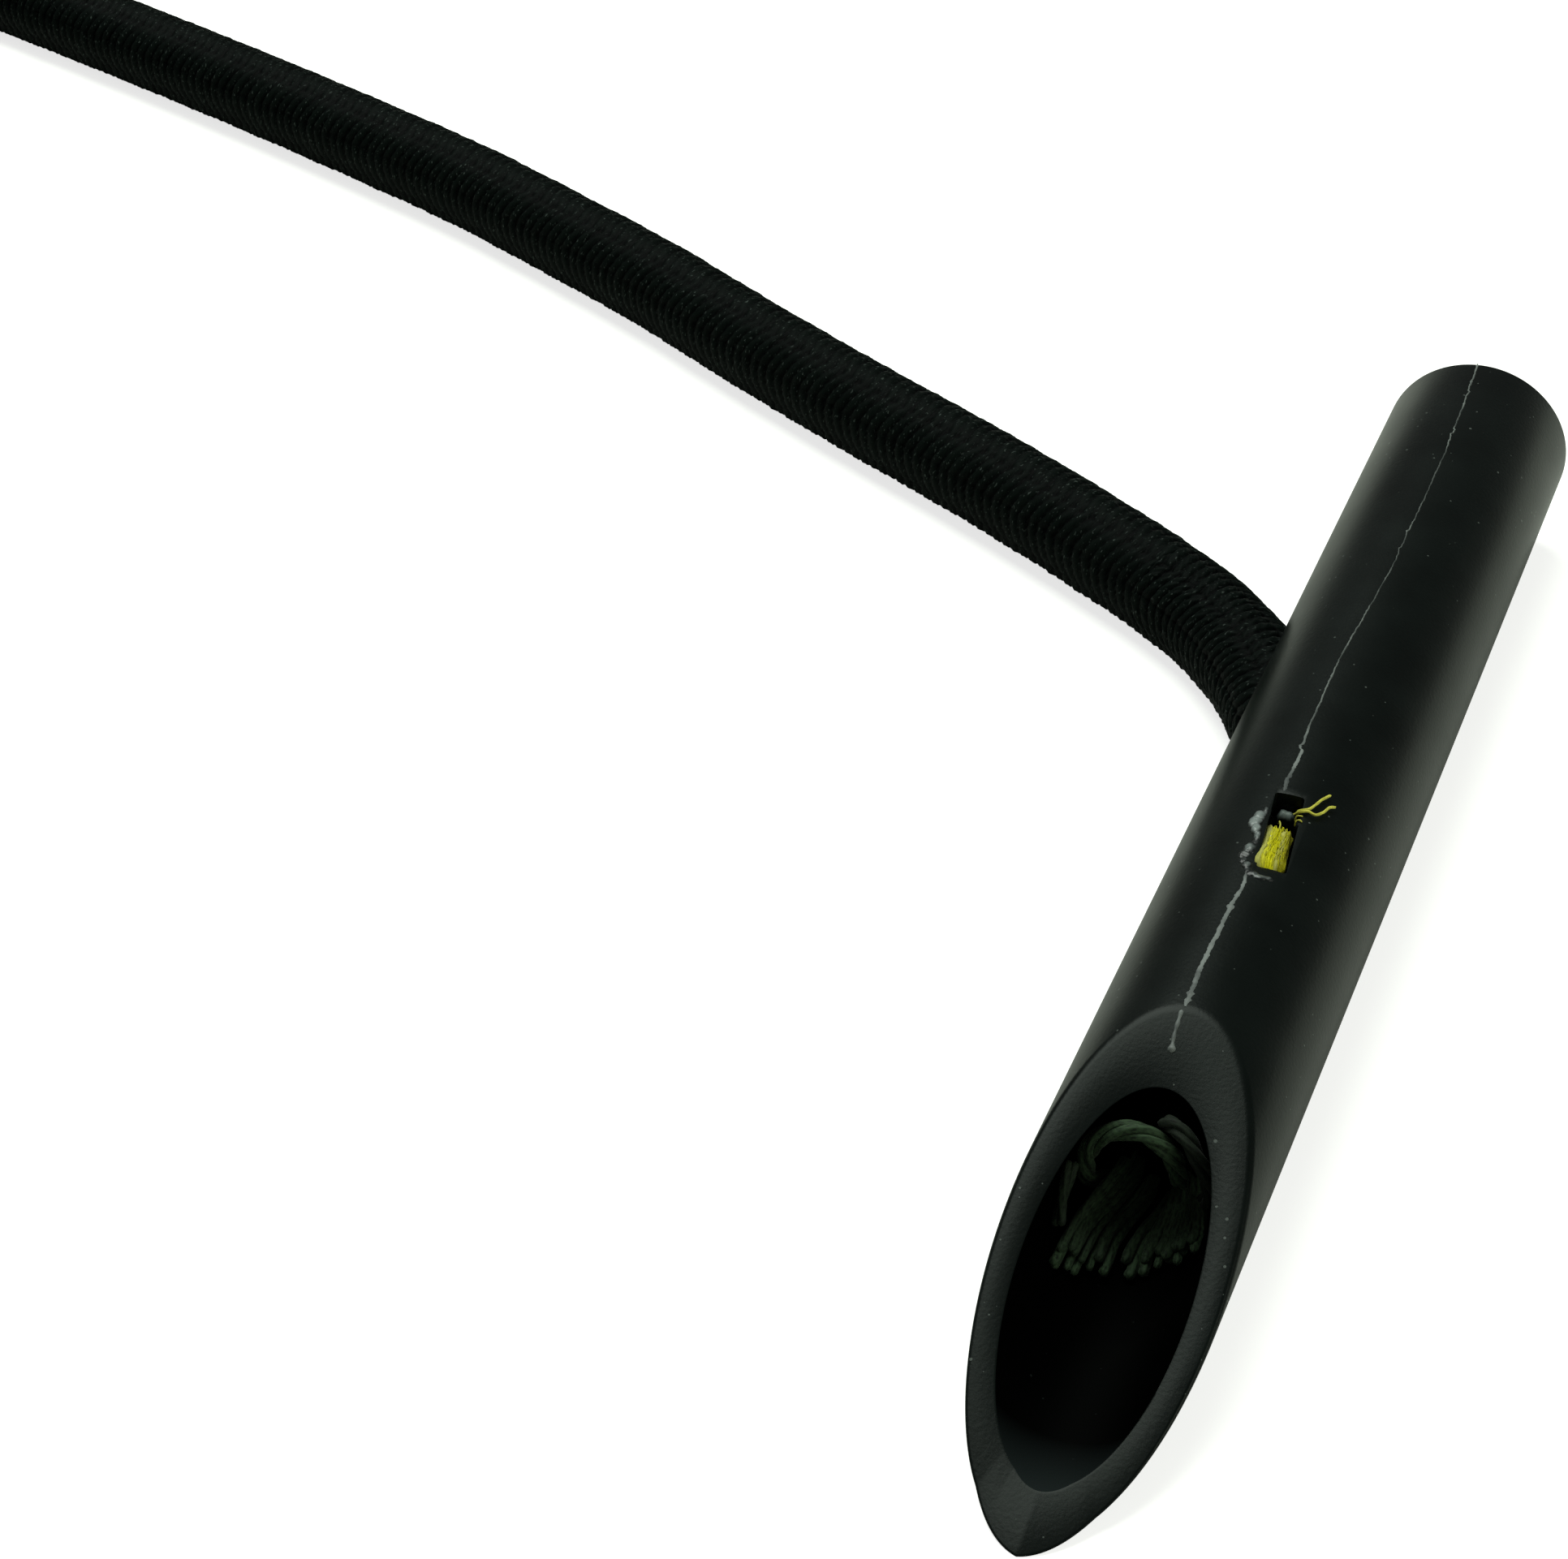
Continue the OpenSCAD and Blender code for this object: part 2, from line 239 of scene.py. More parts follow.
def dress(piece: Object, name: str, slot: Slot, material: Material) -> None:
    """Brings a piece from millimetres to metres, names it and gives it its finish.

    Args:
        piece: The object, with its place already in its mesh.
        name: The piece's own name.
        slot: The record's slot of its finish; not used.
        material: Its finish.
    """
    piece.data.transform(Matrix.Scale(MM, 4))
    piece.name = piece.data.name = name
    piece.data.materials.clear()
    piece.data.materials.append(material)
    LOG.info("%s: %d faces", name, len(piece.data.polygons))


def finished(piece: Object, name: str, body: Body, slot: Slot, material: Material) -> None:
    """Dresses a piece and sets it on its body.

    Args:
        piece: The object, in millimetres.
        name: The piece's own name.
        body: The body that it rides on.
        slot: The record's slot of its finish.
        material: Its finish.
    """
    dress(piece, name, slot, material)
    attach(piece, body.value)


# ---- finishes ----


class Recipe:
    """The node tree of a finish, of the floor or of the room, while it is put together."""

    def __init__(self, owner: Material | bpy.types.World) -> None:
        """Empties the owner's node tree."""
        owner.use_nodes = True
        self.owner = owner
        self.tree = owner.node_tree
        self.tree.nodes.clear()

    def add(
        self,
        kind: str,
        inputs: Mapping[str | int, object] | Sequence[object] = (),
        out: str | int = 0,
        stops: Sequence[tuple[float, str]] = (),
        **settings: object,
    ) -> Socket | None:
        """Adds a node with its settings, and its inputs set or linked.

        Args:
            kind: The node's type without its ShaderNode, and after a dot its operation.
            inputs: A value or an output socket for each input, by name or number, or for the first in turn.
            out: The output that it gives back.
            stops: A ramp's places from 0 to 1, each with its sRGB hex colour.
            settings: The node's attributes.

        Returns:
            The output socket, or None where the node has none.
        """
        kind, _, operation = kind.partition(".")
        node = self.tree.nodes.new("ShaderNode" + kind)
        if operation:
            node.operation = operation
        for name, value in settings.items():
            setattr(node, name, value)
        given = inputs if isinstance(inputs, Mapping) else dict(enumerate(inputs))
        for name, value in given.items():
            if isinstance(value, Socket):
                self.tree.links.new(value, node.inputs[name])
            else:
                node.inputs[name].default_value = value
        for number, (place, colour) in enumerate(stops):
            points = node.color_ramp.elements
            point = points[number] if number < len(points) else points.new(1.0)
            point.position, point.color = place, linear(colour)
        return node.outputs[out] if len(node.outputs) else None

    def coat(self, inputs: Mapping[str, object]) -> Material:
        """Ends the tree in a Principled shader with these inputs, and returns its material."""
        self.add("OutputMaterial", (self.add("BsdfPrincipled", inputs),))
        return self.owner


@dataclass(frozen=True)
class MouldedPlastic:
    """Black glass-filled nylon from a fine spark-eroded mould: near black, satin, with an even fine grain.

    The grain spreads the highlights into soft bands, and the skin holds some pale dust.
    """

    name: str = "moulded_black_plastic"
    body: str = "#060b09"
    worn: str = "#0c1210"
    dust: str = "#7d857f"
    roughness: float = 0.33
    gloss: float = 0.13
    tint: tuple[float, ...] = (0.93, 1.0, 0.95, 1.0)  # of its highlights
    bump: float = 0.45
    grain: float = 0.22  # mm across one grain of the mould's texture
    mottle: float = 5.0  # mm across one patch of duller skin
    speck: float = 0.45  # mm between specks of dust
    clean: float = 0.8  # share of the specks' places that stay clean
    dust_share: float = 0.4  # how far a speck takes the dust's colour
    # Painted daylight: a lighter colour where daylight falls in at the mouth's tip, between day_from and
    # day_to.
    painted_daylight: str | None = None  # colour where daylight falls in at the mouth's tip
    day_from: float = 43.0  # x where it starts to show
    day_to: float = 46.5

    def build(self) -> Material:
        """Returns the material."""
        recipe = Recipe(bpy.data.materials.new(self.name))
        add = recipe.add
        place = add("TexCoord", out="Object")
        grain, mottle, patches = (
            add("TexNoise", {"Vector": place, "Scale": 1 / (size * MM), "Detail": detail})
            for size, detail in ((self.grain, 2.0), (self.mottle, 4.0), (3 * self.mottle, 1.0))
        )
        specks = add("TexVoronoi", {"Vector": place, "Scale": 1 / (self.speck * MM)})
        chance = add("SeparateColor", (specks.node.outputs["Color"],))
        reach = add("Math.MULTIPLY", (add("Math.SUBTRACT", (chance, self.clean)), 1.6))
        reach = add("Math.MULTIPLY", (reach, patches))
        dusty = add("Math.LESS_THAN", (specks, reach))
        skin = add("ValToRGB", (mottle,), stops=((0.35, self.body), (0.7, self.worn)))
        # Painted daylight: the skin lightens towards the mouth's tip.
        if self.painted_daylight:
            along = add("SeparateXYZ", (place,))
            daylight_share = add("MapRange", (along, self.day_from * MM, self.day_to * MM))
            skin = add("Mix", {0: daylight_share, 6: skin, 7: linear(self.painted_daylight)}, 2, data_type="RGBA")
        share = add("Math.MULTIPLY", (dusty, self.dust_share))
        colour = add("Mix", {0: share, 6: skin, 7: linear(self.dust)}, 2, data_type="RGBA")
        rough = add("MapRange", {0: mottle, 3: self.roughness - 0.05, 4: self.roughness + 0.06})
        bump = add("Bump", {"Height": grain, "Strength": self.bump, "Distance": 0.02 * MM})
        coat = {"Base Color": colour, "Roughness": rough, "Normal": bump, "IOR": 1.5}
        return recipe.coat(coat | {"Specular IOR Level": self.gloss, "Specular Tint": self.tint})


@dataclass(frozen=True)
class SeamFlash:
    """Flash squeezed out where the mould's halves meet: the same plastic, scuffed white and matt."""

    pale: str = "#7b827e"
    dull: str = "#434947"
    patch: float = 1.6  # mm across one whiter patch

    def build(self) -> Material:
        """Returns the material."""
        recipe = Recipe(bpy.data.materials.new("scuffed_mould_flash"))
        place = recipe.add("TexCoord", out="Object")
        broken = recipe.add("TexNoise", {"Vector": place, "Scale": 1 / (self.patch * MM), "Detail": 5.0})
        colour = recipe.add("ValToRGB", (broken,), stops=((0.38, self.dull), (0.6, self.pale)))
        return recipe.coat({"Base Color": colour, "Roughness": 0.55, "IOR": 1.5})


@dataclass(frozen=True)
class BraidedSheath:
    """Black textured polyester braid, drawn tight round the rubber: very dark and dull.

    Painted light and shade: near black in the weave's valleys and where a strand runs under the others,
    lighter on the crests and where it runs over, with painted glints of its filaments on the crests.
    """

    around: float  # mm round the cord
    rib: float
    strands: int
    # Painted shade in the valleys, the lit crests' colour, and the painted glints.
    valley_shade: str = "#000101"
    crest: str = "#0b120f"
    painted_glint: str = "#3f4743"
    roughness: float = 0.55
    gloss: float = 0.03
    # Painted shade under the crossings and painted light over them.
    over: float = 0.35  # how far a strand darkens and lightens under and over the others
    fibre_scale: Point = (40.0, 260.0, 1.0)  # filaments a turn round the cord and along it
    glint_scale: Point = (60.0, 130.0, 1.0)
    # Noise above which a filament gets a painted glint.
    glint_from: float = 0.67  # noise above which a filament glints

    def build(self) -> Material:
        """Returns the material, which reads the piece's UV map and its crest and flat attributes."""
        recipe = Recipe(bpy.data.materials.new("black_polyester_braid"))
        add = recipe.add
        crest, flat = (add("Attribute", out="Fac", attribute_name=trait) for trait in ("crest", "flat"))
        mapped = add("UVMap", uv_map="braid")
        turns = add("SeparateXYZ", (mapped,))
        rise = add("Math.MULTIPLY", (turns.node.outputs["Y"], self.around / self.rib))
        wound = add("Math.MULTIPLY", (turns, float(self.strands)))
        half_turns = add("Math.MULTIPLY", (wound, math.pi))
        over = add("Math.MULTIPLY", (add("Math.COSINE", (half_turns,)), self.over))
        hands = []
        for sign, operation in ((1.0, "ADD"), (-1.0, "SUBTRACT")):
            across = add("Math." + operation, (rise, wound))
            phase = add("Math.MULTIPLY", (across, 2 * math.pi))
            crown = add("Math.MULTIPLY_ADD", (add("Math.COSINE", (phase,)), 0.5, 0.5))
            hands.append(add("Math.MULTIPLY_ADD", (over, sign, crown)))
        woven = add("Math.MULTIPLY", (add("Math.MAXIMUM", hands), flat))
        scales = (self.fibre_scale, self.glint_scale)
        places = [add("Mapping", {"Vector": mapped, "Scale": scale}) for scale in scales]
        fibres, glints = (
            add("TexNoise", {"Vector": place, "Scale": 1.0, "Detail": detail})
            for place, detail in zip(places, (3.0, 1.0))
        )
        height = add("Math.MULTIPLY_ADD", (fibres, 0.3, woven))
        # Painted light and shade: the colour runs from near black in the valleys to the lit crests.
        light = add("Math.ADD", (crest, woven))
        uneven = add("Math.MULTIPLY_ADD", (fibres, 1.1, 0.3))
        shade = add("Math.MULTIPLY", (light, uneven))
        # Painted glints on the brightest crests.
        sparse = add("Math.GREATER_THAN", (glints, self.glint_from))
        bright = add("Math.MULTIPLY", (add("Math.POWER", (light, 3.0)), sparse))
        yarn = add("ValToRGB", (shade,), stops=((0.35, self.valley_shade), (0.9, self.crest)))
        colour = add("Mix", {0: bright, 6: yarn, 7: linear(self.painted_glint)}, 2, data_type="RGBA")
        bump = add("Bump", {"Height": height, "Strength": 0.7, "Distance": 0.14 * MM})
        coat = {"Base Color": colour, "Roughness": self.roughness, "Normal": bump}
        return recipe.coat(coat | {"IOR": 1.5, "Specular IOR Level": self.gloss})


@dataclass(frozen=True)
class Thread:
    """Spun or textured yarn: a base colour with painted shade between its fibres, dull, with a little sheen.
    """

    name: str
    deep: str
    bright: str
    # The whitest stop is a painted highlight on the fibres' crowns.
    fibre_highlight: str | None = None
    # Colour of paleness, which also carries a painted highlight streak, and colour of painted shade, each
    # mixed in by an attribute.
    faded: str = "#a9a968"
    stain: str = "#3a2608"
    roughness: float = 0.7
    fibre: float = 0.05  # mm across one fibre
    sheen: float = 0.04
    gloss: float = 0.2

    def build(self) -> Material:
        """Returns the material, which reads the piece's UV map and its attributes for paleness with a painted
        highlight, and for painted shade.
        """
        recipe = Recipe(bpy.data.materials.new(self.name))
        add = recipe.add
        stretched = add("Mapping", {"Vector": add("UVMap", uv_map="braid"), "Scale": (9.0, 2.5, 1.0)})
        fibres = add("TexNoise", {"Vector": stretched, "Scale": 1.0, "Detail": 3.0})
        # Painted shade where the fibre noise is low, and a painted highlight where it is highest; the same
        # noise drives the bump.
        stops = [(0.3, self.deep), (0.56, self.bright)]
        if self.fibre_highlight is not None:
            stops += [(0.66, self.bright), (0.72, self.fibre_highlight)]
        colour = add("ValToRGB", (fibres,), stops=stops)
        # Paleness with a painted highlight, then painted shade, each mixed in by its attribute.
        for trait, shade in (("fade", self.faded), ("stain", self.stain)):
            share = add("Attribute", out="Fac", attribute_name=trait)
            colour = add("Mix", {0: share, 6: colour, 7: linear(shade)}, 2, data_type="RGBA")
        bump = add("Bump", {"Height": fibres, "Strength": 0.6, "Distance": self.fibre * MM})
        coat = {"Base Color": colour, "Roughness": self.roughness, "Normal": bump}
        return recipe.coat(coat | {"Sheen Weight": self.sheen, "Specular IOR Level": self.gloss})


@dataclass(frozen=True)
class DriedGlue:
    """Dried cyanoacrylate: a hard milky skin, glossy on its crowns and frosted where it thins."""

    name: str
    thin: str
    thick: str
    roughness: float
    through: float  # share of light that passes
    patch: float = 0.5  # mm across one frosted patch

    def build(self) -> Material:
        """Returns the material, which reads the piece's thick attribute."""
        recipe = Recipe(bpy.data.materials.new(self.name))
        add = recipe.add
        place = add("TexCoord", out="Object")
        frost = add("TexNoise", {"Vector": place, "Scale": 1 / (self.patch * MM), "Detail": 4.0})
        body = add("Attribute", out="Fac", attribute_name="thick")
        cloud = add("Math.SUBTRACT", (frost, 0.5))
        milk = add("Math.MULTIPLY_ADD", (cloud, 1.1, body))
        colour = add("ValToRGB", (milk,), stops=((0.1, self.thin), (0.8, self.thick)))
        bump = add("Bump", {"Height": frost, "Strength": 0.5, "Distance": 0.06 * MM})
        coat = {"Base Color": colour, "Roughness": self.roughness, "Normal": bump}
        return recipe.coat(coat | {"IOR": 1.45, "Transmission Weight": self.through})


@dataclass(frozen=True)
class WovenStrap:
    """Black polyester webbing: a plain weave of round yarns, dull, with painted light where the yarns crown
    and painted shade between them.
    """

    low: str = "#0b0d0e"
    high: str = "#24292a"
    yarn: float = 0.5  # mm between yarns

    def build(self) -> Material:
        """Returns the material, which reads the piece's UV map in millimetres."""
        recipe = Recipe(bpy.data.materials.new("woven_polyester_strap"))
        add = recipe.add
        sides = add("SeparateXYZ", (add("UVMap", uv_map="braid"),)).node.outputs
        phases = [add("Math.MULTIPLY", (sides[axis], math.pi / self.yarn)) for axis in ("X", "Y")]
        waves = [add("Math.SINE", (phase,)) for phase in phases]
        weave = add("Math.MULTIPLY_ADD", (add("Math.MULTIPLY", waves), 0.5, 0.5))
        # Painted light and shade: lighter on the yarns' crowns, darker between them.
        colour = add("ValToRGB", (weave,), stops=((0.1, self.low), (0.9, self.high)))
        bump = add("Bump", {"Height": weave, "Strength": 0.7, "Distance": 0.15 * MM})
        return recipe.coat({"Base Color": colour, "Roughness": 0.65, "Normal": bump, "Sheen Weight": 0.15})


# ---- swept forms ----


class Centreline:
    """A smooth line through a route's points, measured along its length."""

    def __init__(self, points: Sequence[Point], steps: int = 24, up: Point = (0.0, 0.0, 1.0)) -> None:
        """Runs a cubic through the points.

        Args:
            points: The route, in millimetres.
            steps: Short chords between two points of the route.
            up: A direction that the line never takes, which its frames are turned by.
        """
        self.up = up
        knots = np.array(points, float)
        gaps = np.linalg.norm(np.diff(knots, axis=0), axis=1)[:, None]
        slopes = np.diff(knots, axis=0) / gaps
        inner = (slopes[:-1] * gaps[1:] + slopes[1:] * gaps[:-1]) / (gaps[1:] + gaps[:-1])
        headings = np.vstack([slopes[:1], inner, slopes[-1:]])
        t = np.linspace(0.0, 1.0, steps, endpoint=False)[None, :, None]
        p, q = knots[:-1, None], knots[1:, None]
        m, n = headings[:-1, None] * gaps[:, None], headings[1:, None] * gaps[:, None]
        cube, square = t**3, t**2
        curve = p * (2 * cube - 3 * square + 1) + m * (cube - 2 * square + t)
        curve = curve + q * (3 * square - 2 * cube) + n * (cube - square)
        self.points = np.vstack([curve.reshape(-1, 3), knots[-1:]])
        lengths = np.linalg.norm(np.diff(self.points, axis=0), axis=1)
        self.along = np.concatenate([[0.0], np.cumsum(lengths)])
        self.knot_along = self.along[::steps]
        self.headings = np.gradient(self.points, self.along, axis=0)

    @property
    def length(self) -> float:
        """The line's whole length."""
        return float(self.along[-1])

    def _read(self, table: np.ndarray, along: np.ndarray) -> np.ndarray:
        """Reads a table of vectors at places along the line."""
        return np.stack([np.interp(along, self.along, table[:, i]) for i in range(3)], axis=1)

    def at(self, along: np.ndarray) -> np.ndarray:
        """Returns the points at places along the line."""
        return self._read(self.points, along)

    def frames(self, along: np.ndarray) -> tuple[np.ndarray, np.ndarray]:
        """Finds the level and the rising direction square to the line.

        Args:
            along: Places along the line.

        Returns:
            Two arrays of unit vectors.
        """
        heading = self._read(self.headings, along)
        heading /= np.linalg.norm(heading, axis=1)[:, None]
        level = np.cross(heading, self.up)
        level /= np.linalg.norm(level, axis=1)[:, None]
        return level, np.cross(level, heading)

    def rings(self, along: np.ndarray, radius: np.ndarray) -> np.ndarray:
        """Sets rings of points square to the line.

        Args:
            along: Places along the line.
            radius: Each point's distance from the line, rings by sides.

        Returns:
            The points, rings by sides by three coordinates.
        """
        sides = radius.shape[1]
        angle = 2 * math.pi * (np.arange(sides) / sides)[:, None]
        level, rise = (side[:, None] for side in self.frames(along))
        return self.at(along)[:, None] + radius[..., None] * (np.cos(angle) * level + np.sin(angle) * rise)


def round_ends(length: float, radius: float) -> Along:
    """Gives a radius that draws in like half a ball at a yarn's ends."""

    def at(along: np.ndarray) -> np.ndarray:
        """The radius at places along the yarn."""
        share = np.clip(np.minimum(along, length - along) / radius, 0.0, 1.0)
        return radius * np.sqrt(np.maximum(0.02, 1 - (1 - share) ** 2))

    return at


@dataclass(frozen=True)
class Spin:
    """How a yarn's plies show: as ridges that wind round it."""

    plies: int = 0
    turn: float = 1.0  # length of one turn of the plies
    ridge: float = 0.0  # height of the ridges as a share of the radius


class Skin:
    """Gathers rings of points into one tube, with its UV map and its point attributes."""

    def __init__(self) -> None:
        """Starts with no rings."""
        self.points: list[np.ndarray] = []
        self.faces: list[list[int]] = []
        self.corners: list[tuple[float, float]] = []
        self.traits: dict[str, list[np.ndarray]] = {}
        self.count = 0

    def rings(self, points: np.ndarray, along: np.ndarray, around: float, **traits: np.ndarray) -> int:
        """Adds rings and the faces between them.

        Args:
            points: Rings by sides by three coordinates.
            along: Each ring's place along the tube.
            around: The length that one turn of the UV map stands for.
            traits: A value for each point, by name.

        Returns:
            The number of the first point.
        """
        count, sides = points.shape[:2]
        first = self.count
        self.points.append(points.reshape(-1, 3))
        self.count += count * sides
        for name, values in traits.items():
            self.traits.setdefault(name, []).append(np.broadcast_to(values, (count, sides)).reshape(-1))
        for i in range(count - 1):
            row, low, high = first + i * sides, along[i] / around, along[i + 1] / around
            for k in range(sides):
                after = (k + 1) % sides
                self.faces.append([row + k, row + sides + k, row + sides + after, row + after])
                left, right = k / sides, (k + 1) / sides
                self.corners += [(left, low), (left, high), (right, high), (right, low)]
        return first

    def halve(self, fine: int, coarse: int, sides: int, along: float, around: float) -> None:
        """Joins a ring to the next one, which has half as many sides.

        Args:
            fine: First point of the finer ring.
            coarse: First point of the coarser ring.
            sides: Sides of the coarser ring.
            along: Place of the join along the tube.
            around: The length that one turn of the UV map stands for.
        """
        level = along / around
        for k in range(sides):
            a, b, c = fine + 2 * k, fine + 2 * k + 1, fine + (2 * k + 2) % (2 * sides)
            p, q = coarse + k, coarse + (k + 1) % sides
            self.faces += [[a, p, b], [b, p, q], [b, q, c]]
            left, mid, right = k / sides, (k + 0.5) / sides, (k + 1) / sides
            self.corners += [(x, level) for x in (left, left, mid, mid, left, right, mid, right, right)]

    def cap(self, first: int, sides: int, backwards: bool, along: float = 0.0) -> None:
        """Closes a ring with one face.

        Args:
            first: The ring's first point.
            sides: Its sides.
            backwards: True at the tube's start, where the face looks back along it.
            along: The cap's place in the UV map.
        """
        order = range(sides) if backwards else range(sides - 1, -1, -1)
        self.faces.append([first + k for k in order])
        self.corners += [(k / sides, along) for k in order]

    def closed(
        self, points: np.ndarray, along: np.ndarray, around: float = 1.0, **traits: np.ndarray | float
    ) -> None:
        """Adds rings with a cap at each end.

        Args:
            points: Rings by sides by three coordinates.
            along: Each ring's place along the tube.
            around: The length that one turn of the UV map stands for.
            traits: A value for each point or for all, by name.
        """
        first, sides = self.rings(points, along, around, **traits), points.shape[1]
        self.cap(first, sides, True, along[0] / around)
        self.cap(first + (len(along) - 1) * sides, sides, False, along[-1] / around)

    def yarn(
        self,
        line: Centreline,
        radius: float | Along,
        sides: int,
        step: float,
        spin: Spin = Spin(),
        **traits: float,
    ) -> None:
        """Sweeps a round or plied section along a line.

        Args:
            line: The yarn's middle line.
            radius: Its radius, drawn in at its ends, or the radius at each place along it.
            sides: Points of the section.
            step: Distance between rings.
            spin: Its plies.
            traits: A value for every point, by name.
        """
        along = np.linspace(0.0, line.length, max(3, round(line.length / step)) + 1)
        angle = 2 * math.pi * (np.arange(sides) / sides)
        ridges = np.cos(spin.plies * angle - 2 * math.pi * along[:, None] / spin.turn)
        size = radius if callable(radius) else round_ends(line.length, radius)
        self.closed(line.rings(along, size(along)[:, None] * (1 + spin.ridge * ridges)), along, **traits)

    def piece(self, name: str) -> Object:
        """Makes the mesh object.

        Args:
            name: Its name.

        Returns:
            The object, smooth shaded, in millimetres.
        """
        mesh = bpy.data.meshes.new(name)
        mesh.from_pydata(np.concatenate(self.points).tolist(), [], self.faces)
        mesh.uv_layers.new(name="braid").data.foreach_set("uv", np.array(self.corners, np.float32).ravel())
        for trait, parts in self.traits.items():
            values = mesh.attributes.new(trait, "FLOAT", "POINT")
            values.data.foreach_set("value", np.concatenate(parts).astype(np.float32))
        mesh.polygons.foreach_set("use_smooth", np.ones(len(mesh.polygons), bool))
        mesh.update()
        piece = bpy.data.objects.new(name, mesh)
        bpy.context.scene.collection.objects.link(piece)
        return piece


@dataclass(frozen=True)
class Braid:
    """The sheath's weave: strands wound both ways, each passing over two and under two.

    The crossings keep their place round the cord, so the ribs lean by turns one way and the other.
    """

    rib: float = 0.9  # along the cord from one rib to the next
    strands: int = 8  # wound each way
    bulge: float = 0.3  # from a strand's flank to its crown
    lift: float = 0.13  # rise and fall of a strand over and under the others
    groove: float = 0.02  # dip along a strand's middle, between its two yarns
    plies: int = 24  # ridges of the twisted yarn in one turn of a strand
    ply: float = 0.032  # height of a ridge
    slant: float = 1.3  # how far a ridge runs across its strand
    swell: float = 0.03  # slow unevenness of the sheath
    swell_length: float = 1.85

    def height(self, along: np.ndarray, turn: np.ndarray) -> np.ndarray:
        """Works out the sheath's height over its mean radius.

        Args:
            along: Places along the cord.
            turn: Places round it, in turns.

        Returns:
            The height in millimetres at each pair of places.
        """
        sway = np.cos(math.pi * self.strands * turn)
        over = self.lift * (0.6 * np.tanh(5 * sway) + 0.4 * sway)
        hands = []
        for hand in (1, -1):
            across = along / self.rib + hand * self.strands * turn
            strand = np.round(across)
            off = across - strand
            key = np.mod(strand, self.strands)
            twist = 2 * math.pi * (self.plies * turn + hand * self.slant * off + 0.37 * key**2)
            crown = np.sqrt(1 - 3.88 * off * off)
            yarn = self.bulge * (crown - 0.8) - self.groove * np.exp(-((off / 0.07) ** 2))
            hands.append(hand * over + yarn + self.ply * crown * np.cos(twist) + 0.02 * np.sin(5.3 * key))
        swell = np.sin(2 * math.pi * along / self.swell_length + 2 * np.sin(0.37 * along))
        uneven = np.sin(1.7 * along + 3 * np.sin(2 * math.pi * turn))
        uneven = uneven * np.cos(6 * math.pi * turn + 0.9 * along)
        return np.maximum(*hands) + self.swell * (swell * np.cos(2 * math.pi * (turn - 0.3)) + 0.5 * uneven)

    def crest(self, height: np.ndarray) -> np.ndarray:
        """Scales the height to run from 0 in the valleys to 1 on the crests."""
        low, high = -0.6 * self.bulge, 0.2 * self.bulge + self.lift
        return np.clip((height - low) / (high - low), 0.0, 1.0)


# ---- the toggle ----


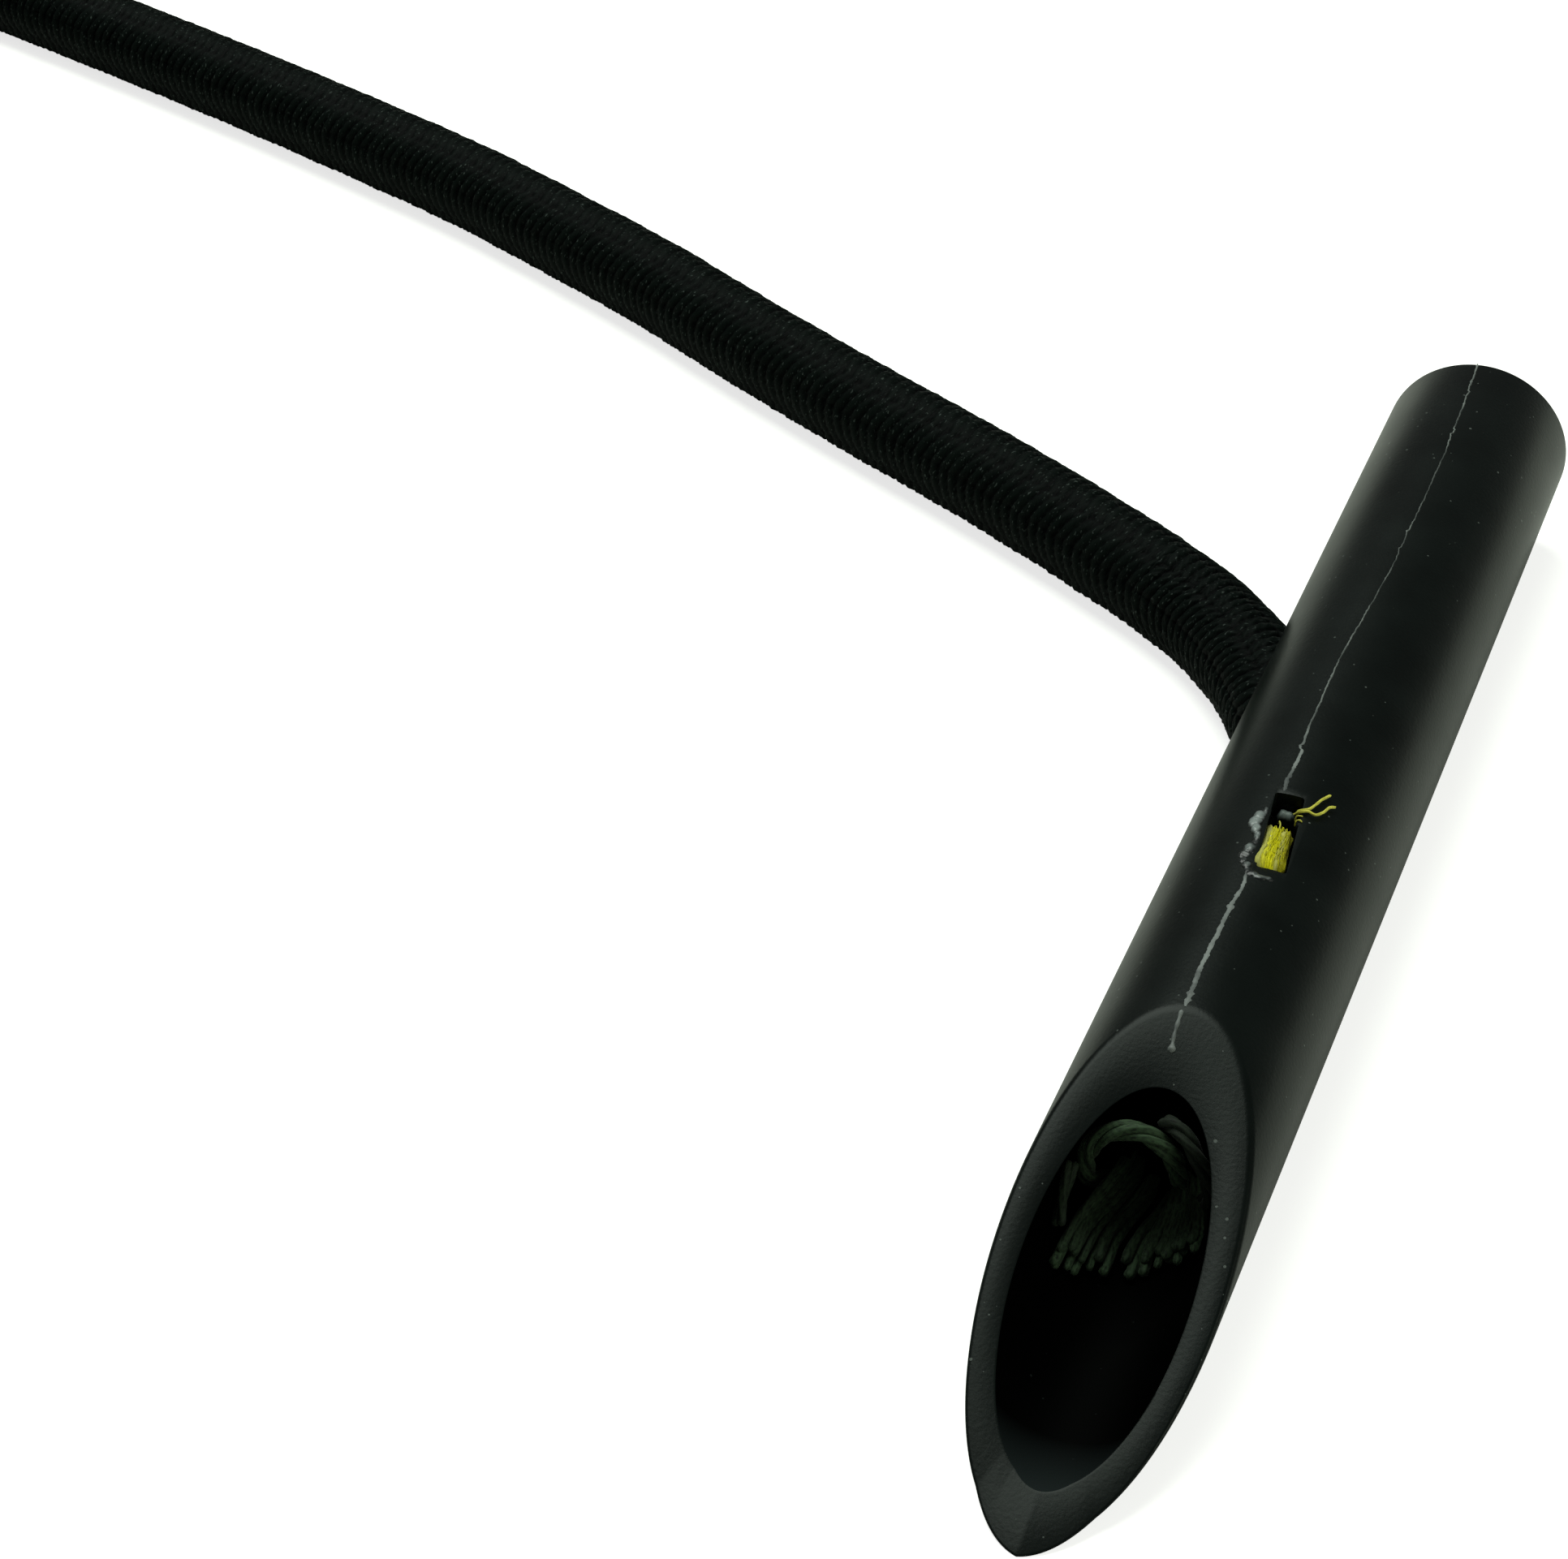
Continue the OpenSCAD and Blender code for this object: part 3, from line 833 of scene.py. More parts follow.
@dataclass
class ToggleTube:
    """The moulded tube: slant-cut mouth, square far end, port, window and mould seam."""

    wall: float = 1.4
    cut_angle: float = 24.0  # of the mouth to the toggle's axis
    port_x: float = -15.0
    port_d: float = 7.2
    port_angle: float = 27.0
    port_y: float = -4.2
    port_z: float = 4.3
    port_reach: float = 8.0
    window_x: float = 5.62
    window_length: float = 7.0
    window_width: float = 1.65
    window_turn: float = 4.5  # degrees round the tube from its top
    window_skew: float = 6.0  # degrees from the toggle's axis
    window_corner: float = 0.18
    window_edge: float = 0.09
    facets: int = 240
    far_pull: float = 0.5  # how far the square end stands past the solid
    far_edge: float = 0.25
    far_inner_edge: float = 0.2
    mouth_edge: float = 0.32
    bore_edge: float = 0.12
    mouth_drop: float = 0.36  # how far the bore's rim sits below the tube's middle at the mouth
    mouth_choke: float = 0.963  # the bore's rim at the mouth, as a share of the bore
    tip_pull: float = 1.0  # how far the mouth's tip is drawn out to a point
    tip_spread: float = 3.5
    far_x: float = field(init=False)
    tip_x: float = field(init=False)
    tube_r: float = field(init=False)

    def __post_init__(self) -> None:
        """Takes the tube's ends and radius from the frame."""
        low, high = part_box("toggle_body")
        self.far_x, self.tip_x = low.x / MM - self.far_pull, high.x / MM
        self.tube_r = (high.z - low.z) / 2 / MM

    @property
    def bore_r(self) -> float:
        """Radius of the bore."""
        return self.tube_r - self.wall

    def window_frame(self) -> Matrix:
        """Returns the window's frame: X along it, Z outwards from the toggle's axis."""
        return (
            Matrix.Translation((self.window_x, 0, self.tube_r))
            @ Matrix.Rotation(math.radians(-self.window_turn), 4, "X")
            @ Matrix.Rotation(math.radians(self.window_skew), 4, "Z")
        )

    def on_skin(self, x: float, degrees: float, above: float = 0.0) -> Vector:
        """Places a point by the tube's own measures.

        Args:
            x: Along the toggle.
            degrees: Round it from the top, towards +Y.
            above: Height over the skin.

        Returns:
            The point.
        """
        angle, r = math.radians(degrees), self.tube_r + above
        return Vector((x, r * math.sin(angle), self.tube_r + r * math.cos(angle)))

    def _off_axis(self, point: Vector) -> float:
        """Distance of a point from the toggle's axis."""
        return math.hypot(point.y, point.z - self.tube_r)

    def _shell(self) -> Object:
        """Draws the two open cylinders, cuts them on the slant and bridges their ends."""
        length = self.tip_x - self.far_x
        place = {
            "vertices": self.facets,
            "depth": length,
            "end_fill_type": "NOTHING",
            "location": (self.far_x + length / 2, 0, self.tube_r),
            "rotation": (0, math.pi / 2, 0),
        }
        tube = primitive(bpy.ops.mesh.primitive_cylinder_add, radius=self.tube_r, **place)
        bpy.ops.object.mode_set(mode="EDIT")
        bpy.ops.mesh.primitive_cylinder_add(radius=self.bore_r, **place)
        bpy.ops.mesh.flip_normals()
        slant = math.radians(self.cut_angle)
        bisect((self.tip_x, 0, 0), (math.sin(slant), 0, math.cos(slant)), clear_outer=True)
        top_x = self.tip_x - 2 * self.tube_r / math.tan(slant)
        bisect((top_x - 1.0, 0, 0), (1, 0, 0))

        def on_bore(edge: object) -> bool:
            """Says whether an edge is the bore's open rim at the mouth."""
            at = middle(edge)
            return edge.is_boundary and at.x > top_x and self._off_axis(at) < self.bore_r + 0.01

        pick(tube, "EDGE", on_bore)
        centre = (self.tip_x - self.tube_r / math.tan(slant), 0, self.tube_r)
        bpy.ops.transform.resize(value=(self.mouth_choke,) * 3, center_override=centre)
        bpy.ops.transform.translate(value=(self.mouth_drop / math.tan(slant), 0, -self.mouth_drop))
        for at_far in (True, False):
            pick(tube, "EDGE", lambda e: e.is_boundary and (middle(e).x < self.far_x + 0.01) == at_far)
            bpy.ops.mesh.bridge_edge_loops()
        bpy.ops.mesh.select_all(action="SELECT")
        bpy.ops.mesh.normals_make_consistent(inside=False)
        return tube

    def _round_rims(self, tube: Object) -> None:
        """Bevels the rims of both ends, in edit mode."""
        slant = math.tan(math.radians(self.cut_angle))

        def on_rim(edge: object, radius: float, far: bool) -> bool:
            """Says whether an edge runs round the rim of that radius."""
            skin = all(abs(self._off_axis(v.co) - self.tube_r) < 0.02 for v in edge.verts)
            inside = all(self._off_axis(v.co) < self.tube_r - 0.5 for v in edge.verts)
            if not (skin if radius == self.tube_r else inside):
                return False
            if far:
                return all(v.co.x < self.far_x + 0.01 for v in edge.verts)
            return all(abs((self.tip_x - v.co.x) * slant - v.co.z) < 0.02 for v in edge.verts)

        rims = (
            (self.tube_r, True, self.far_edge, 5),
            (self.bore_r, True, self.far_inner_edge, 2),
            (self.tube_r, False, self.mouth_edge, 5),
            (self.bore_r, False, self.bore_edge, 2),
        )
        for radius, far, offset, segments in rims:
            pick(tube, "EDGE", lambda e: on_rim(e, radius, far))
            bpy.ops.mesh.bevel(offset=offset, segments=segments, affect="EDGES", clamp_overlap=True)
        pick(tube, "VERT", lambda v: abs(v.co.y) < 0.1 and v.co.x > self.tip_x - 0.6)
        bpy.ops.transform.translate(
            value=(self.tip_pull, 0, 0),
            use_proportional_edit=True,
            proportional_edit_falloff="LINEAR",
            proportional_size=self.tip_spread,
        )

    def _rings_by_window(self) -> None:
        """Adds rings each side of the window and the port, so that the long faces end near them."""
        window = self.window_length / 2 + 0.6
        for x in (self.window_x - window, self.window_x + window, self.port_x - 18.0, self.port_x + 9.0):
            bisect((x, 0, 0), (1, 0, 0))

    def _window_cutter(self) -> Object:
        """A long block with rounded corners in the window's frame, its far end square to the tube."""
        size = (self.window_length + 1.0, self.window_width, 2 * self.tube_r)
        cutter = primitive(bpy.ops.mesh.primitive_cube_add, size, size=1.0, location=(-0.5, 0, self.tube_r))
        bpy.ops.object.mode_set(mode="EDIT")
        skew = math.radians(self.window_skew)
        square = (-math.cos(skew), math.sin(skew), 0)
        bisect((-self.window_length / 2, 0, 0), square, clear_outer=True, use_fill=True)
        pick(cutter, "EDGE", lambda e: abs(e.verts[0].co.z - e.verts[1].co.z) > 1)
        bpy.ops.mesh.bevel(offset=self.window_corner, segments=4, affect="EDGES")
        bpy.ops.object.mode_set(mode="OBJECT")
        cutter.data.transform(self.window_frame())
        return cutter

    def _port_cutter(self) -> Object:
        """A cylinder along the port, ending in the bore."""
        depth, angle = 3 * 2 * self.tube_r + self.port_reach, math.radians(self.port_angle)
        heading = Vector((math.cos(angle), math.sin(angle), 0))
        port = Vector((self.port_x, self.port_y, self.port_z))
        return primitive(
            bpy.ops.mesh.primitive_cylinder_add,
            vertices=96,
            radius=self.port_d / 2,
            depth=depth,
            location=port + heading * (self.port_reach - depth / 2),
            rotation=(0, math.pi / 2, angle),
        )

    def _soften_cuts(self, tube: Object) -> None:
        """Bevels the window's and the port's edges where they break the skin."""
        take(tube)
        bpy.ops.object.mode_set(mode="EDIT")

        def broken(edge: object) -> bool:
            """Says whether an edge lies on the skin where a cut meets it."""
            if len(edge.link_faces) != 2 or edge.calc_face_angle(0.0) < math.radians(30):
                return False
            if any(abs(self._off_axis(v.co) - self.tube_r) > 0.03 for v in edge.verts):
                return False
            return self.port_x - 17 < middle(edge).x < self.window_x + self.window_length / 2 + 0.5

        pick(tube, "EDGE", broken)
        bpy.ops.mesh.bevel(offset=self.window_edge, segments=2, affect="EDGES", clamp_overlap=True)
        bpy.ops.object.mode_set(mode="OBJECT")

    def _line_bore(self, tube: Object, inside: Material) -> None:
        """Gives the faces that look at the toggle's axis the bore's finish: near black, painted shade, with
        painted daylight near the mouth's tip.
        """
        tube.data.materials.append(inside)
        for face in tube.data.polygons:
            out = Vector((0, face.center.y, face.center.z - self.tube_r * MM))
            faces_in = abs(face.normal.x) < 0.2 and face.normal.dot(out.normalized()) < -0.6
            if faces_in and out.length < (self.tube_r - 0.7) * MM:
                face.material_index = 1

    def build(self, plastic: Material, inside: Material) -> Object:
        """Models the tube and sets it on the toggle's body.

        Args:
            plastic: Its finish.
            inside: Finish of the bore: near black, painted shade, with painted daylight near the mouth's tip.

        Returns:
            The finished piece.
        """
        tube = self._shell()
        self._round_rims(tube)
        self._rings_by_window()
        bpy.ops.object.mode_set(mode="OBJECT")
        cut_with(tube, self._window_cutter())
        cut_with(tube, self._port_cutter())
        self._soften_cuts(tube)
        soften(tube, 30)
        finished(tube, "toggle_tube", Body.TOGGLE, Slot.PLASTIC, plastic)
        self._line_bore(tube, inside)
        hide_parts("toggle_body")
        return tube


@dataclass
class MouldSeam:
    """The thin broken line of flash along the top of the tube, in two stretches beside the window."""

    tube: ToggleTube
    step: float = 0.14
    height: float = 0.045
    sunk: float = 0.05
    jump: float = 1.1  # degrees by which the ridge steps aside, now and then
    section: tuple[tuple[float, float], ...] = (
        (-1.0, -1.0), (-1.0, 0.0), (-0.35, 0.8), (0.2, 1.0), (1.0, 0.1), (1.0, -1.0),
    )
    # Place along the toggle, degrees round it from the top, and width
    far_run: tuple[Point, ...] = (
        (-49.47, -4.8, 0.2), (-48.95, -4.6, 0.12), (-43.0, -2.2, 0.1), (-37.1, 0.1, 0.09),
        (-30.8, -0.1, 0.08), (-22.7, -0.3, 0.08), (-17.0, -3.4, 0.09), (-12.0, -6.1, 0.1), (-5.0, -5.5, 0.12),
        (-3.0, -4.6, 0.16), (-1.36, -3.2, 0.2), (0.56, -3.5, 0.24), (2.05, -2.8, 0.24),
    )
    near_run: tuple[Point, ...] = (
        (9.36, -2.8, 0.2), (11.35, -1.8, 0.22), (12.84, -3.1, 0.24), (15.54, -3.6, 0.26), (17.75, -4.4, 0.25),
        (20.23, -3.6, 0.27), (21.97, -3.0, 0.24),
    )
    # Place along the toggle and across it, over the cut face
    face_run: tuple[tuple[float, float], ...] = ((22.2, -0.4), (22.78, -0.41), (23.56, -0.39), (24.49, -0.27))

    def _stretch(self, run: Sequence[Point], seed: int) -> Skin:
        """Sweeps a low ridge along one stretch.

        Args:
            run: Its guide points.
            seed: For its jaggedness.

        Returns:
            The ridge's skin.
        """
        draw = random.Random(seed)
        xs = np.arange(run[0][0], run[-1][0], self.step)
        turns, widths = (np.interp(xs, [p[0] for p in run], [p[i] for p in run]) for i in (1, 2))
        rings = np.zeros((len(xs), len(self.section), 3))
        wander = 0.0
        for i, (x, turn) in enumerate(zip(xs, turns)):
            wander = 0.75 * wander + draw.uniform(-0.22, 0.22)
            if draw.random() < 0.02:
                wander += draw.choice((-self.jump, self.jump))
            size = draw.uniform(0.7, 1.15)
            if draw.random() < 0.05:
                size *= 1.6
            ends = min(1.0, (i + 1) / 3, (len(xs) - i) / 3)
            for k, (across, up) in enumerate(self.section):
                aside = across * widths[i] / 2 * size * ends / self.tube.tube_r
                above = up * (self.height * size * ends if up > 0 else self.sunk)
                rings[i, k] = self.tube.on_skin(x, turn + wander + math.degrees(aside), above)
        skin = Skin()
        skin.closed(rings, xs)
        return skin

    def _over_face(self) -> Skin:
        """Sweeps the thin ridge over the cut face, which ends in a blob."""
        slope = math.tan(math.radians(self.tube.cut_angle))
        line = Centreline([(x, y, (self.tube.tip_x - x) * slope - 0.02) for x, y in self.face_run])

        def radius(along: np.ndarray) -> np.ndarray:
            """Half the ridge's width at places along it."""
            blob = np.exp(-(((line.length - 0.2 - along) / 0.18) ** 2))
            ends = np.clip(np.minimum(along, line.length - along) / 0.1, 0.05, 1.0)
            return (0.11 + 0.02 * np.sin(9 * along) + 0.09 * blob) * np.sqrt(ends)

        skin = Skin()
        skin.yarn(line, radius, 12, 0.04)
        return skin

    def build(self, flash: Material) -> None:
        """Makes both stretches, and the ridge over the cut face.

        Args:
            flash: Their finish.
        """
        ridges = {
            "far": self._stretch(self.far_run, 3),
            "near": self._stretch(self.near_run, 8),
            "face": self._over_face(),
        }
        for name, skin in ridges.items():
            ridge = skin.piece("seam")
            face_outwards(ridge)
            soften(ridge, 50)
            finished(ridge, f"mould_seam_{name}", Body.TOGGLE, Slot.PLASTIC, flash)


@dataclass
class GlueWork:
    """Dried glue: milky beads beside the window, and the collar that holds the cord under its far edge."""

    tube: ToggleTube
    voxel: float = 0.045
    full: float = 0.17  # height of the beads where they are fully milky
    collar_thick: float = 0.7  # along the toggle
    collar_sides: int = 12
    bar_height: float = 0.5  # of the lump that rises into the window
    bar_half: float = 0.5
    # Place along the window's frame, across it round the skin, radii along and across, and height
    beads: tuple[tuple[float, ...], ...] = (
        (-1.67, -1.08, 0.42, 0.15, 0.12), (-1.17, -1.35, 0.55, 0.32, 0.18), (-0.52, -1.5, 0.62, 0.36, 0.22),
        (0.08, -1.33, 0.5, 0.28, 0.28), (0.73, -1.18, 0.55, 0.2, 0.2), (1.38, -1.2, 0.45, 0.2, 0.14),
        (1.93, -1.42, 0.5, 0.36, 0.26), (2.48, -1.62, 0.5, 0.33, 0.2), (3.03, -1.6, 0.42, 0.26, 0.17),
        (3.48, -1.33, 0.37, 0.3, 0.26), (3.93, -1.22, 0.36, 0.25, 0.17), (4.23, -0.92, 0.3, 0.35, 0.2),
        (4.38, -0.5, 0.27, 0.4, 0.18), (4.38, -0.1, 0.2, 0.32, 0.12),
    )

    def _bead(self, along: float, across: float, long_r: float, wide_r: float, height: float) -> Object:
        """One flattened ball on the skin."""
        size = (long_r, 1.1 * wide_r, 0.8 * height)
        bead = primitive(bpy.ops.mesh.primitive_ico_sphere_add, size, subdivisions=4, location=(0, 0, 0))
        turn = Matrix.Rotation(-across / self.tube.tube_r, 4, "X")
        lift = Matrix.Translation((along, 0, self.tube.tube_r - 0.02))
        bead.data.transform(self.tube.window_frame() @ turn @ lift)
        return bead

    def build_beads(self, glue: Material) -> None:
        """Runs the beads together into one lumpy line.

        Args:
            glue: Their finish.
        """
        beads = [self._bead(*bead) for bead in self.beads]
        take(beads[0])
        for bead in beads[1:]:
            bead.select_set(True)
        bpy.ops.object.join()
        line = bpy.context.object
        apply_modifier(line, "REMESH", mode="VOXEL", voxel_size=self.voxel)
        apply_modifier(line, "SMOOTH", factor=0.5, iterations=3)
        thick = line.data.attributes.new("thick", "FLOAT", "POINT")
        for i, point in enumerate(line.data.vertices):
            above = math.hypot(point.co.y, point.co.z - self.tube.tube_r) - self.tube.tube_r
            thick.data[i].value = min(1.1, max(0.0, above / self.full)) ** 2
            point.co += 0.05 * noise.noise_vector(point.co * 2.2) + 0.02 * noise.noise_vector(point.co * 7)
        soften(line, 80)
        finished(line, "glue_beads", Body.TOGGLE, Slot.BEAD, glue)
        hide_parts("glue_bead")

    def build_collar(self, glue: Material, cord_r: float, cord_z: float) -> None:
        """Makes the arch of glue between the cord and the bore.

        Args:
            glue: Its finish.
            cord_r: The cord's radius.
            cord_z: Height of the cord's middle line.
        """
        tube = self.tube
        middle_x = tube.window_x - tube.window_length / 2 + self.collar_thick / 2
        steps, turns = 176, [2 * math.pi * k / self.collar_sides for k in range(self.collar_sides)]
        rings = []
        for i in range(steps + 1):
            angle = math.radians(88 * (2 * i / steps - 1))
            out = Vector((0, math.sin(angle), math.cos(angle)))
            low = Vector((0, cord_r * math.sin(angle), cord_z + cord_r * math.cos(angle)))
            reach = (tube.bore_r - 0.02) - math.hypot(low.y, low.z - tube.tube_r)
            high = low + out * max(0.06, reach)
            if high.z > tube.tube_r:
                high.z += self.bar_height * math.exp(-(((high.y - 0.03) / self.bar_half) ** 6))
            ring = []
            for turn in turns:
                round_xz = (math.cos(turn), math.sin(turn))
                flat_x, flat_z = (math.copysign(math.sqrt(abs(v)), v) for v in round_xz)
                point = low.lerp(high, 0.5 + 0.5 * flat_z)
                point.x = middle_x + 0.45 * self.collar_thick * flat_x
                ring.append(point + 0.08 * noise.noise_vector(point * 3))
            rings.append(ring)
        rings = np.array(rings)
        # Painted shade: near black down in the bore, and the paler glue colour only on the crown that rises
        # into the window's opening.
        crown = smooth_step((rings[..., 2] - tube.tube_r - tube.bore_r) / 0.4)
        skin = Skin()
        skin.closed(rings, np.arange(steps + 1) * 0.05, thick=crown)
        collar = skin.piece("collar")
        face_outwards(collar)
        finished(collar, "glue_collar_arch", Body.TOGGLE, Slot.COLLAR, glue)
        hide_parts("glue_collar")


# ---- the core and the frayed end ----


@dataclass
class CoreBundle:
    """The elastic's yellow core: yarns pulled up through the window, with loose fibres and two threads."""

    tube: ToggleTube
    yarn_d: float = 0.32
    a_row: int = 6
    pitch: float = 0.215  # across the window from one yarn to the next
    shift: float = -0.13
    rows: int = 4
    row_gap: float = 0.26
    depth: float = 0.62  # of the top yarns' middles under the skin
    fibres: int = 150
    fibre_d: float = 0.04
    thread_d: float = 0.15
    tuft_d: float = 0.09
    yarn_spin: Spin = Spin(5, 1.9, 0.12)
    thread_spin: Spin = Spin(3, 0.9, 0.12)
    # Height of the bundle over its start, along the window's frame
    rise: tuple[tuple[float, float], ...] = (
        (-1.3, -0.25), (-0.6, -0.05), (0.4, 0.08), (1.5, 0.3), (2.4, 0.5), (2.95, 0.52),
        (3.25, 0.3), (3.4, -0.1), (3.42, -1.1), (4.3, -1.5), (6.0, -2.1),
    )
    # Each thread's points: along the tube from the window's middle, round it and above its skin
    threads: tuple[tuple[Point, ...], ...] = (
        (
            (-3.1, 0.25, -0.85), (-2.75, 0.33, -0.5), (-2.42, 0.42, -0.12), (-2.24, 0.65, 0.17),
            (-2.46, 0.91, 0.2), (-2.99, 1.12, 0.25), (-3.77, 1.37, 0.25), (-4.42, 1.65, 0.2),
        ),
        (
            (-3.0, 0.1, -0.9), (-2.62, 0.24, -0.58), (-2.28, 0.37, -0.2), (-2.09, 0.6, 0.14),
            (-2.13, 0.88, 0.26), (-2.17, 1.29, 0.22), (-2.58, 1.62, 0.25), (-3.3, 1.84, 0.25),
            (-3.7, 2.14, 0.2),
        ),
    )
    tufts: tuple[tuple[Point, ...], ...] = (
        ((-1.86, 0.4, -0.5), (-1.82, 0.46, -0.05), (-1.76, 0.62, 0.07), (-1.82, 0.76, 0.05)),
        ((-1.46, 0.5, -0.5), (-1.42, 0.56, -0.02), (-1.38, 0.7, 0.07), (-1.3, 0.84, 0.05)),
        ((-1.62, -0.5, -0.75), (-1.4, -0.41, -0.42), (-1.15, -0.3, -0.4), (-0.8, -0.26, -0.5)),
    )

    def _height(self, x: float) -> float:
        """Height of the bundle's top yarns over the toggle's axis, along the window's frame."""
        xs, rises = zip(*self.rise)
        return self.tube.tube_r - self.depth + float(np.interp(x, xs, rises))

    def _tint(self, side: float) -> dict[str, float]:
        """Pales the bundle's left side, paints a highlight streak on one yarn, and paints shade on its right
        side.
        """
        # Paler on the left side, and a painted highlight streak near side 0.19.
        fade = max((-side - 0.4) / 0.2, 1.0 - abs(side - 0.19) / 0.1)
        # Painted shade on the right side, by the window's wall.
        stain = (side - 0.25) / 0.16
        return {"fade": 0.75 * min(1.0, max(0.0, fade)), "stain": 0.45 * min(1.0, max(0.0, stain))}

    def _spill(self, x: float, side: float) -> float:
        """How far a yarn leans out over the window's left edge."""
        return -0.17 * math.exp(-(((x - 2.8) / 0.5) ** 2)) * min(1.0, max(0.0, -side / 0.6))

    def _yarns(self) -> Skin:
        """Sweeps the yarns, lowest row first."""
        draw = random.Random(14)
        skin, frame_of = Skin(), self.tube.window_frame()
        for row in range(self.rows - 1, -1, -1):
            for across in range(self.a_row):
                side = (across - (self.a_row - 1) / 2) * self.pitch + (self.pitch / 2 if row % 2 else 0.0)
                side = min(side, 0.62) + self.shift
                start, bob = 0.25 * row + draw.uniform(0.0, 0.55), draw.uniform(-0.05, 0.05)
                size = self.yarn_d / 2 * draw.uniform(0.85, 1.2)
                phase = draw.uniform(0.0, 6.0)
                points = []
                for x, _ in self.rise:
                    at = max(x, -1.3 + start + 0.1 * (x + 1.3)) if x < 0.4 else x
                    sway = 0.035 * math.sin(1.6 * at + phase)
                    crown = 0.06 * math.cos(1.9 * side)
                    drop = self.row_gap * row * (1.0 if x < 3.4 else 0.4)
                    near = x - (0.16 * row + 0.1 * abs(side) if x > 3.0 else 0.0)
                    y = side + sway + self._spill(x, side) * (1.0 if row == 0 else 0.6)
                    z = self._height(x) + crown + bob - drop
                    points.append(tuple(frame_of @ Vector((at if x < 0.4 else near, y, z))))
                line = Centreline(points, 8, up=(0.0, 1.0, 0.0))
                skin.yarn(line, size, 18, 0.06, self.yarn_spin, **self._tint(side))
        return skin

    def _fibres(self) -> Skin:
        """Strews short fine fibres over the top yarns, lying along them, and ragged tufts."""
        draw = random.Random(21)
        skin, frame_of = Skin(), self.tube.window_frame()
        reach = self.a_row / 2 * self.pitch
        for _ in range(self.fibres):
            x, y = draw.uniform(-1.35, 2.5), draw.uniform(-reach, reach) + self.shift
            length, drift = draw.uniform(0.5, 1.5), draw.uniform(-0.16, 0.16)
            lift = draw.uniform(0.0, 0.09)
            points = []
            for i in range(6):
                share = i / 5
                along = x + length * share
                side = y + drift * share + 0.03 * math.sin(5 * share + x)
                height = self._height(along) + self.yarn_d / 2 + 0.05 * math.cos(1.9 * side)
                height -= 0.04 * (y / reach) ** 2
                up = lift * math.sin(math.pi * share) + 0.02
                points.append(tuple(frame_of @ Vector((along, side + self._spill(along, side), height + up))))
            line = Centreline(points, 2, up=(0.0, 1.0, 0.0))
            skin.yarn(line, self.fibre_d / 2, 5, 0.12, **self._tint(y + draw.uniform(-0.15, 0.15)))
        for run in self.tufts:
            skin.yarn(self._loose(run), self.tuft_d / 2, 8, 0.05, fade=0.5, stain=0.0)
        return skin

    def _loose(self, run: Sequence[Point]) -> Centreline:
        """Lays a line by the tube's skin."""
        points = []
        for along, around, above in run:
            degrees = self.tube.window_turn + math.degrees(around / self.tube.tube_r)
            points.append(tuple(self.tube.on_skin(self.tube.window_x + along, degrees, above)))
        return Centreline(points, 12)

    def build(self, yellow: Material, thread: Material) -> None:
        """Makes the bundle, its fibres and the loose threads.

        Args:
            yellow: Finish of the bundle.
            thread: Finish of the loose threads.
        """
        yarns = self._yarns().piece("yarns")
        finished(yarns, "core_bundle", Body.TOGGLE, Slot.CORE, yellow)
        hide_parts("core_yarns")
        finished(self._fibres().piece("fibres"), "core_fibres", Body.TOGGLE, Slot.CORE, yellow)
        for number, run in enumerate(self.threads, 1):
            skin = Skin()
            skin.yarn(self._loose(run), self.thread_d / 2, 12, 0.05, self.thread_spin)
            piece = skin.piece("thread")
            finished(piece, f"loose_thread_{number}", Body.TOGGLE, Slot.CORE, thread)
            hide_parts("loose_threads")


@dataclass(frozen=True)
class Bundle:
    """One fan of the sheath's yarns: degrees from the bottom at root and end, and how many a layer."""

    root_fan: tuple[float, float]
    end_fan: tuple[float, float]
    a_layer: int


@dataclass(frozen=True)
class Loop:
    """Some yarns of the sheath that are twisted about one line."""

    points: tuple[Point, ...]
    yarns: int
    apart: float  # of the yarns from the line
    # Painted shade: how far the loop's yarns are darkened.
    dark: float  # share by which they are darkened


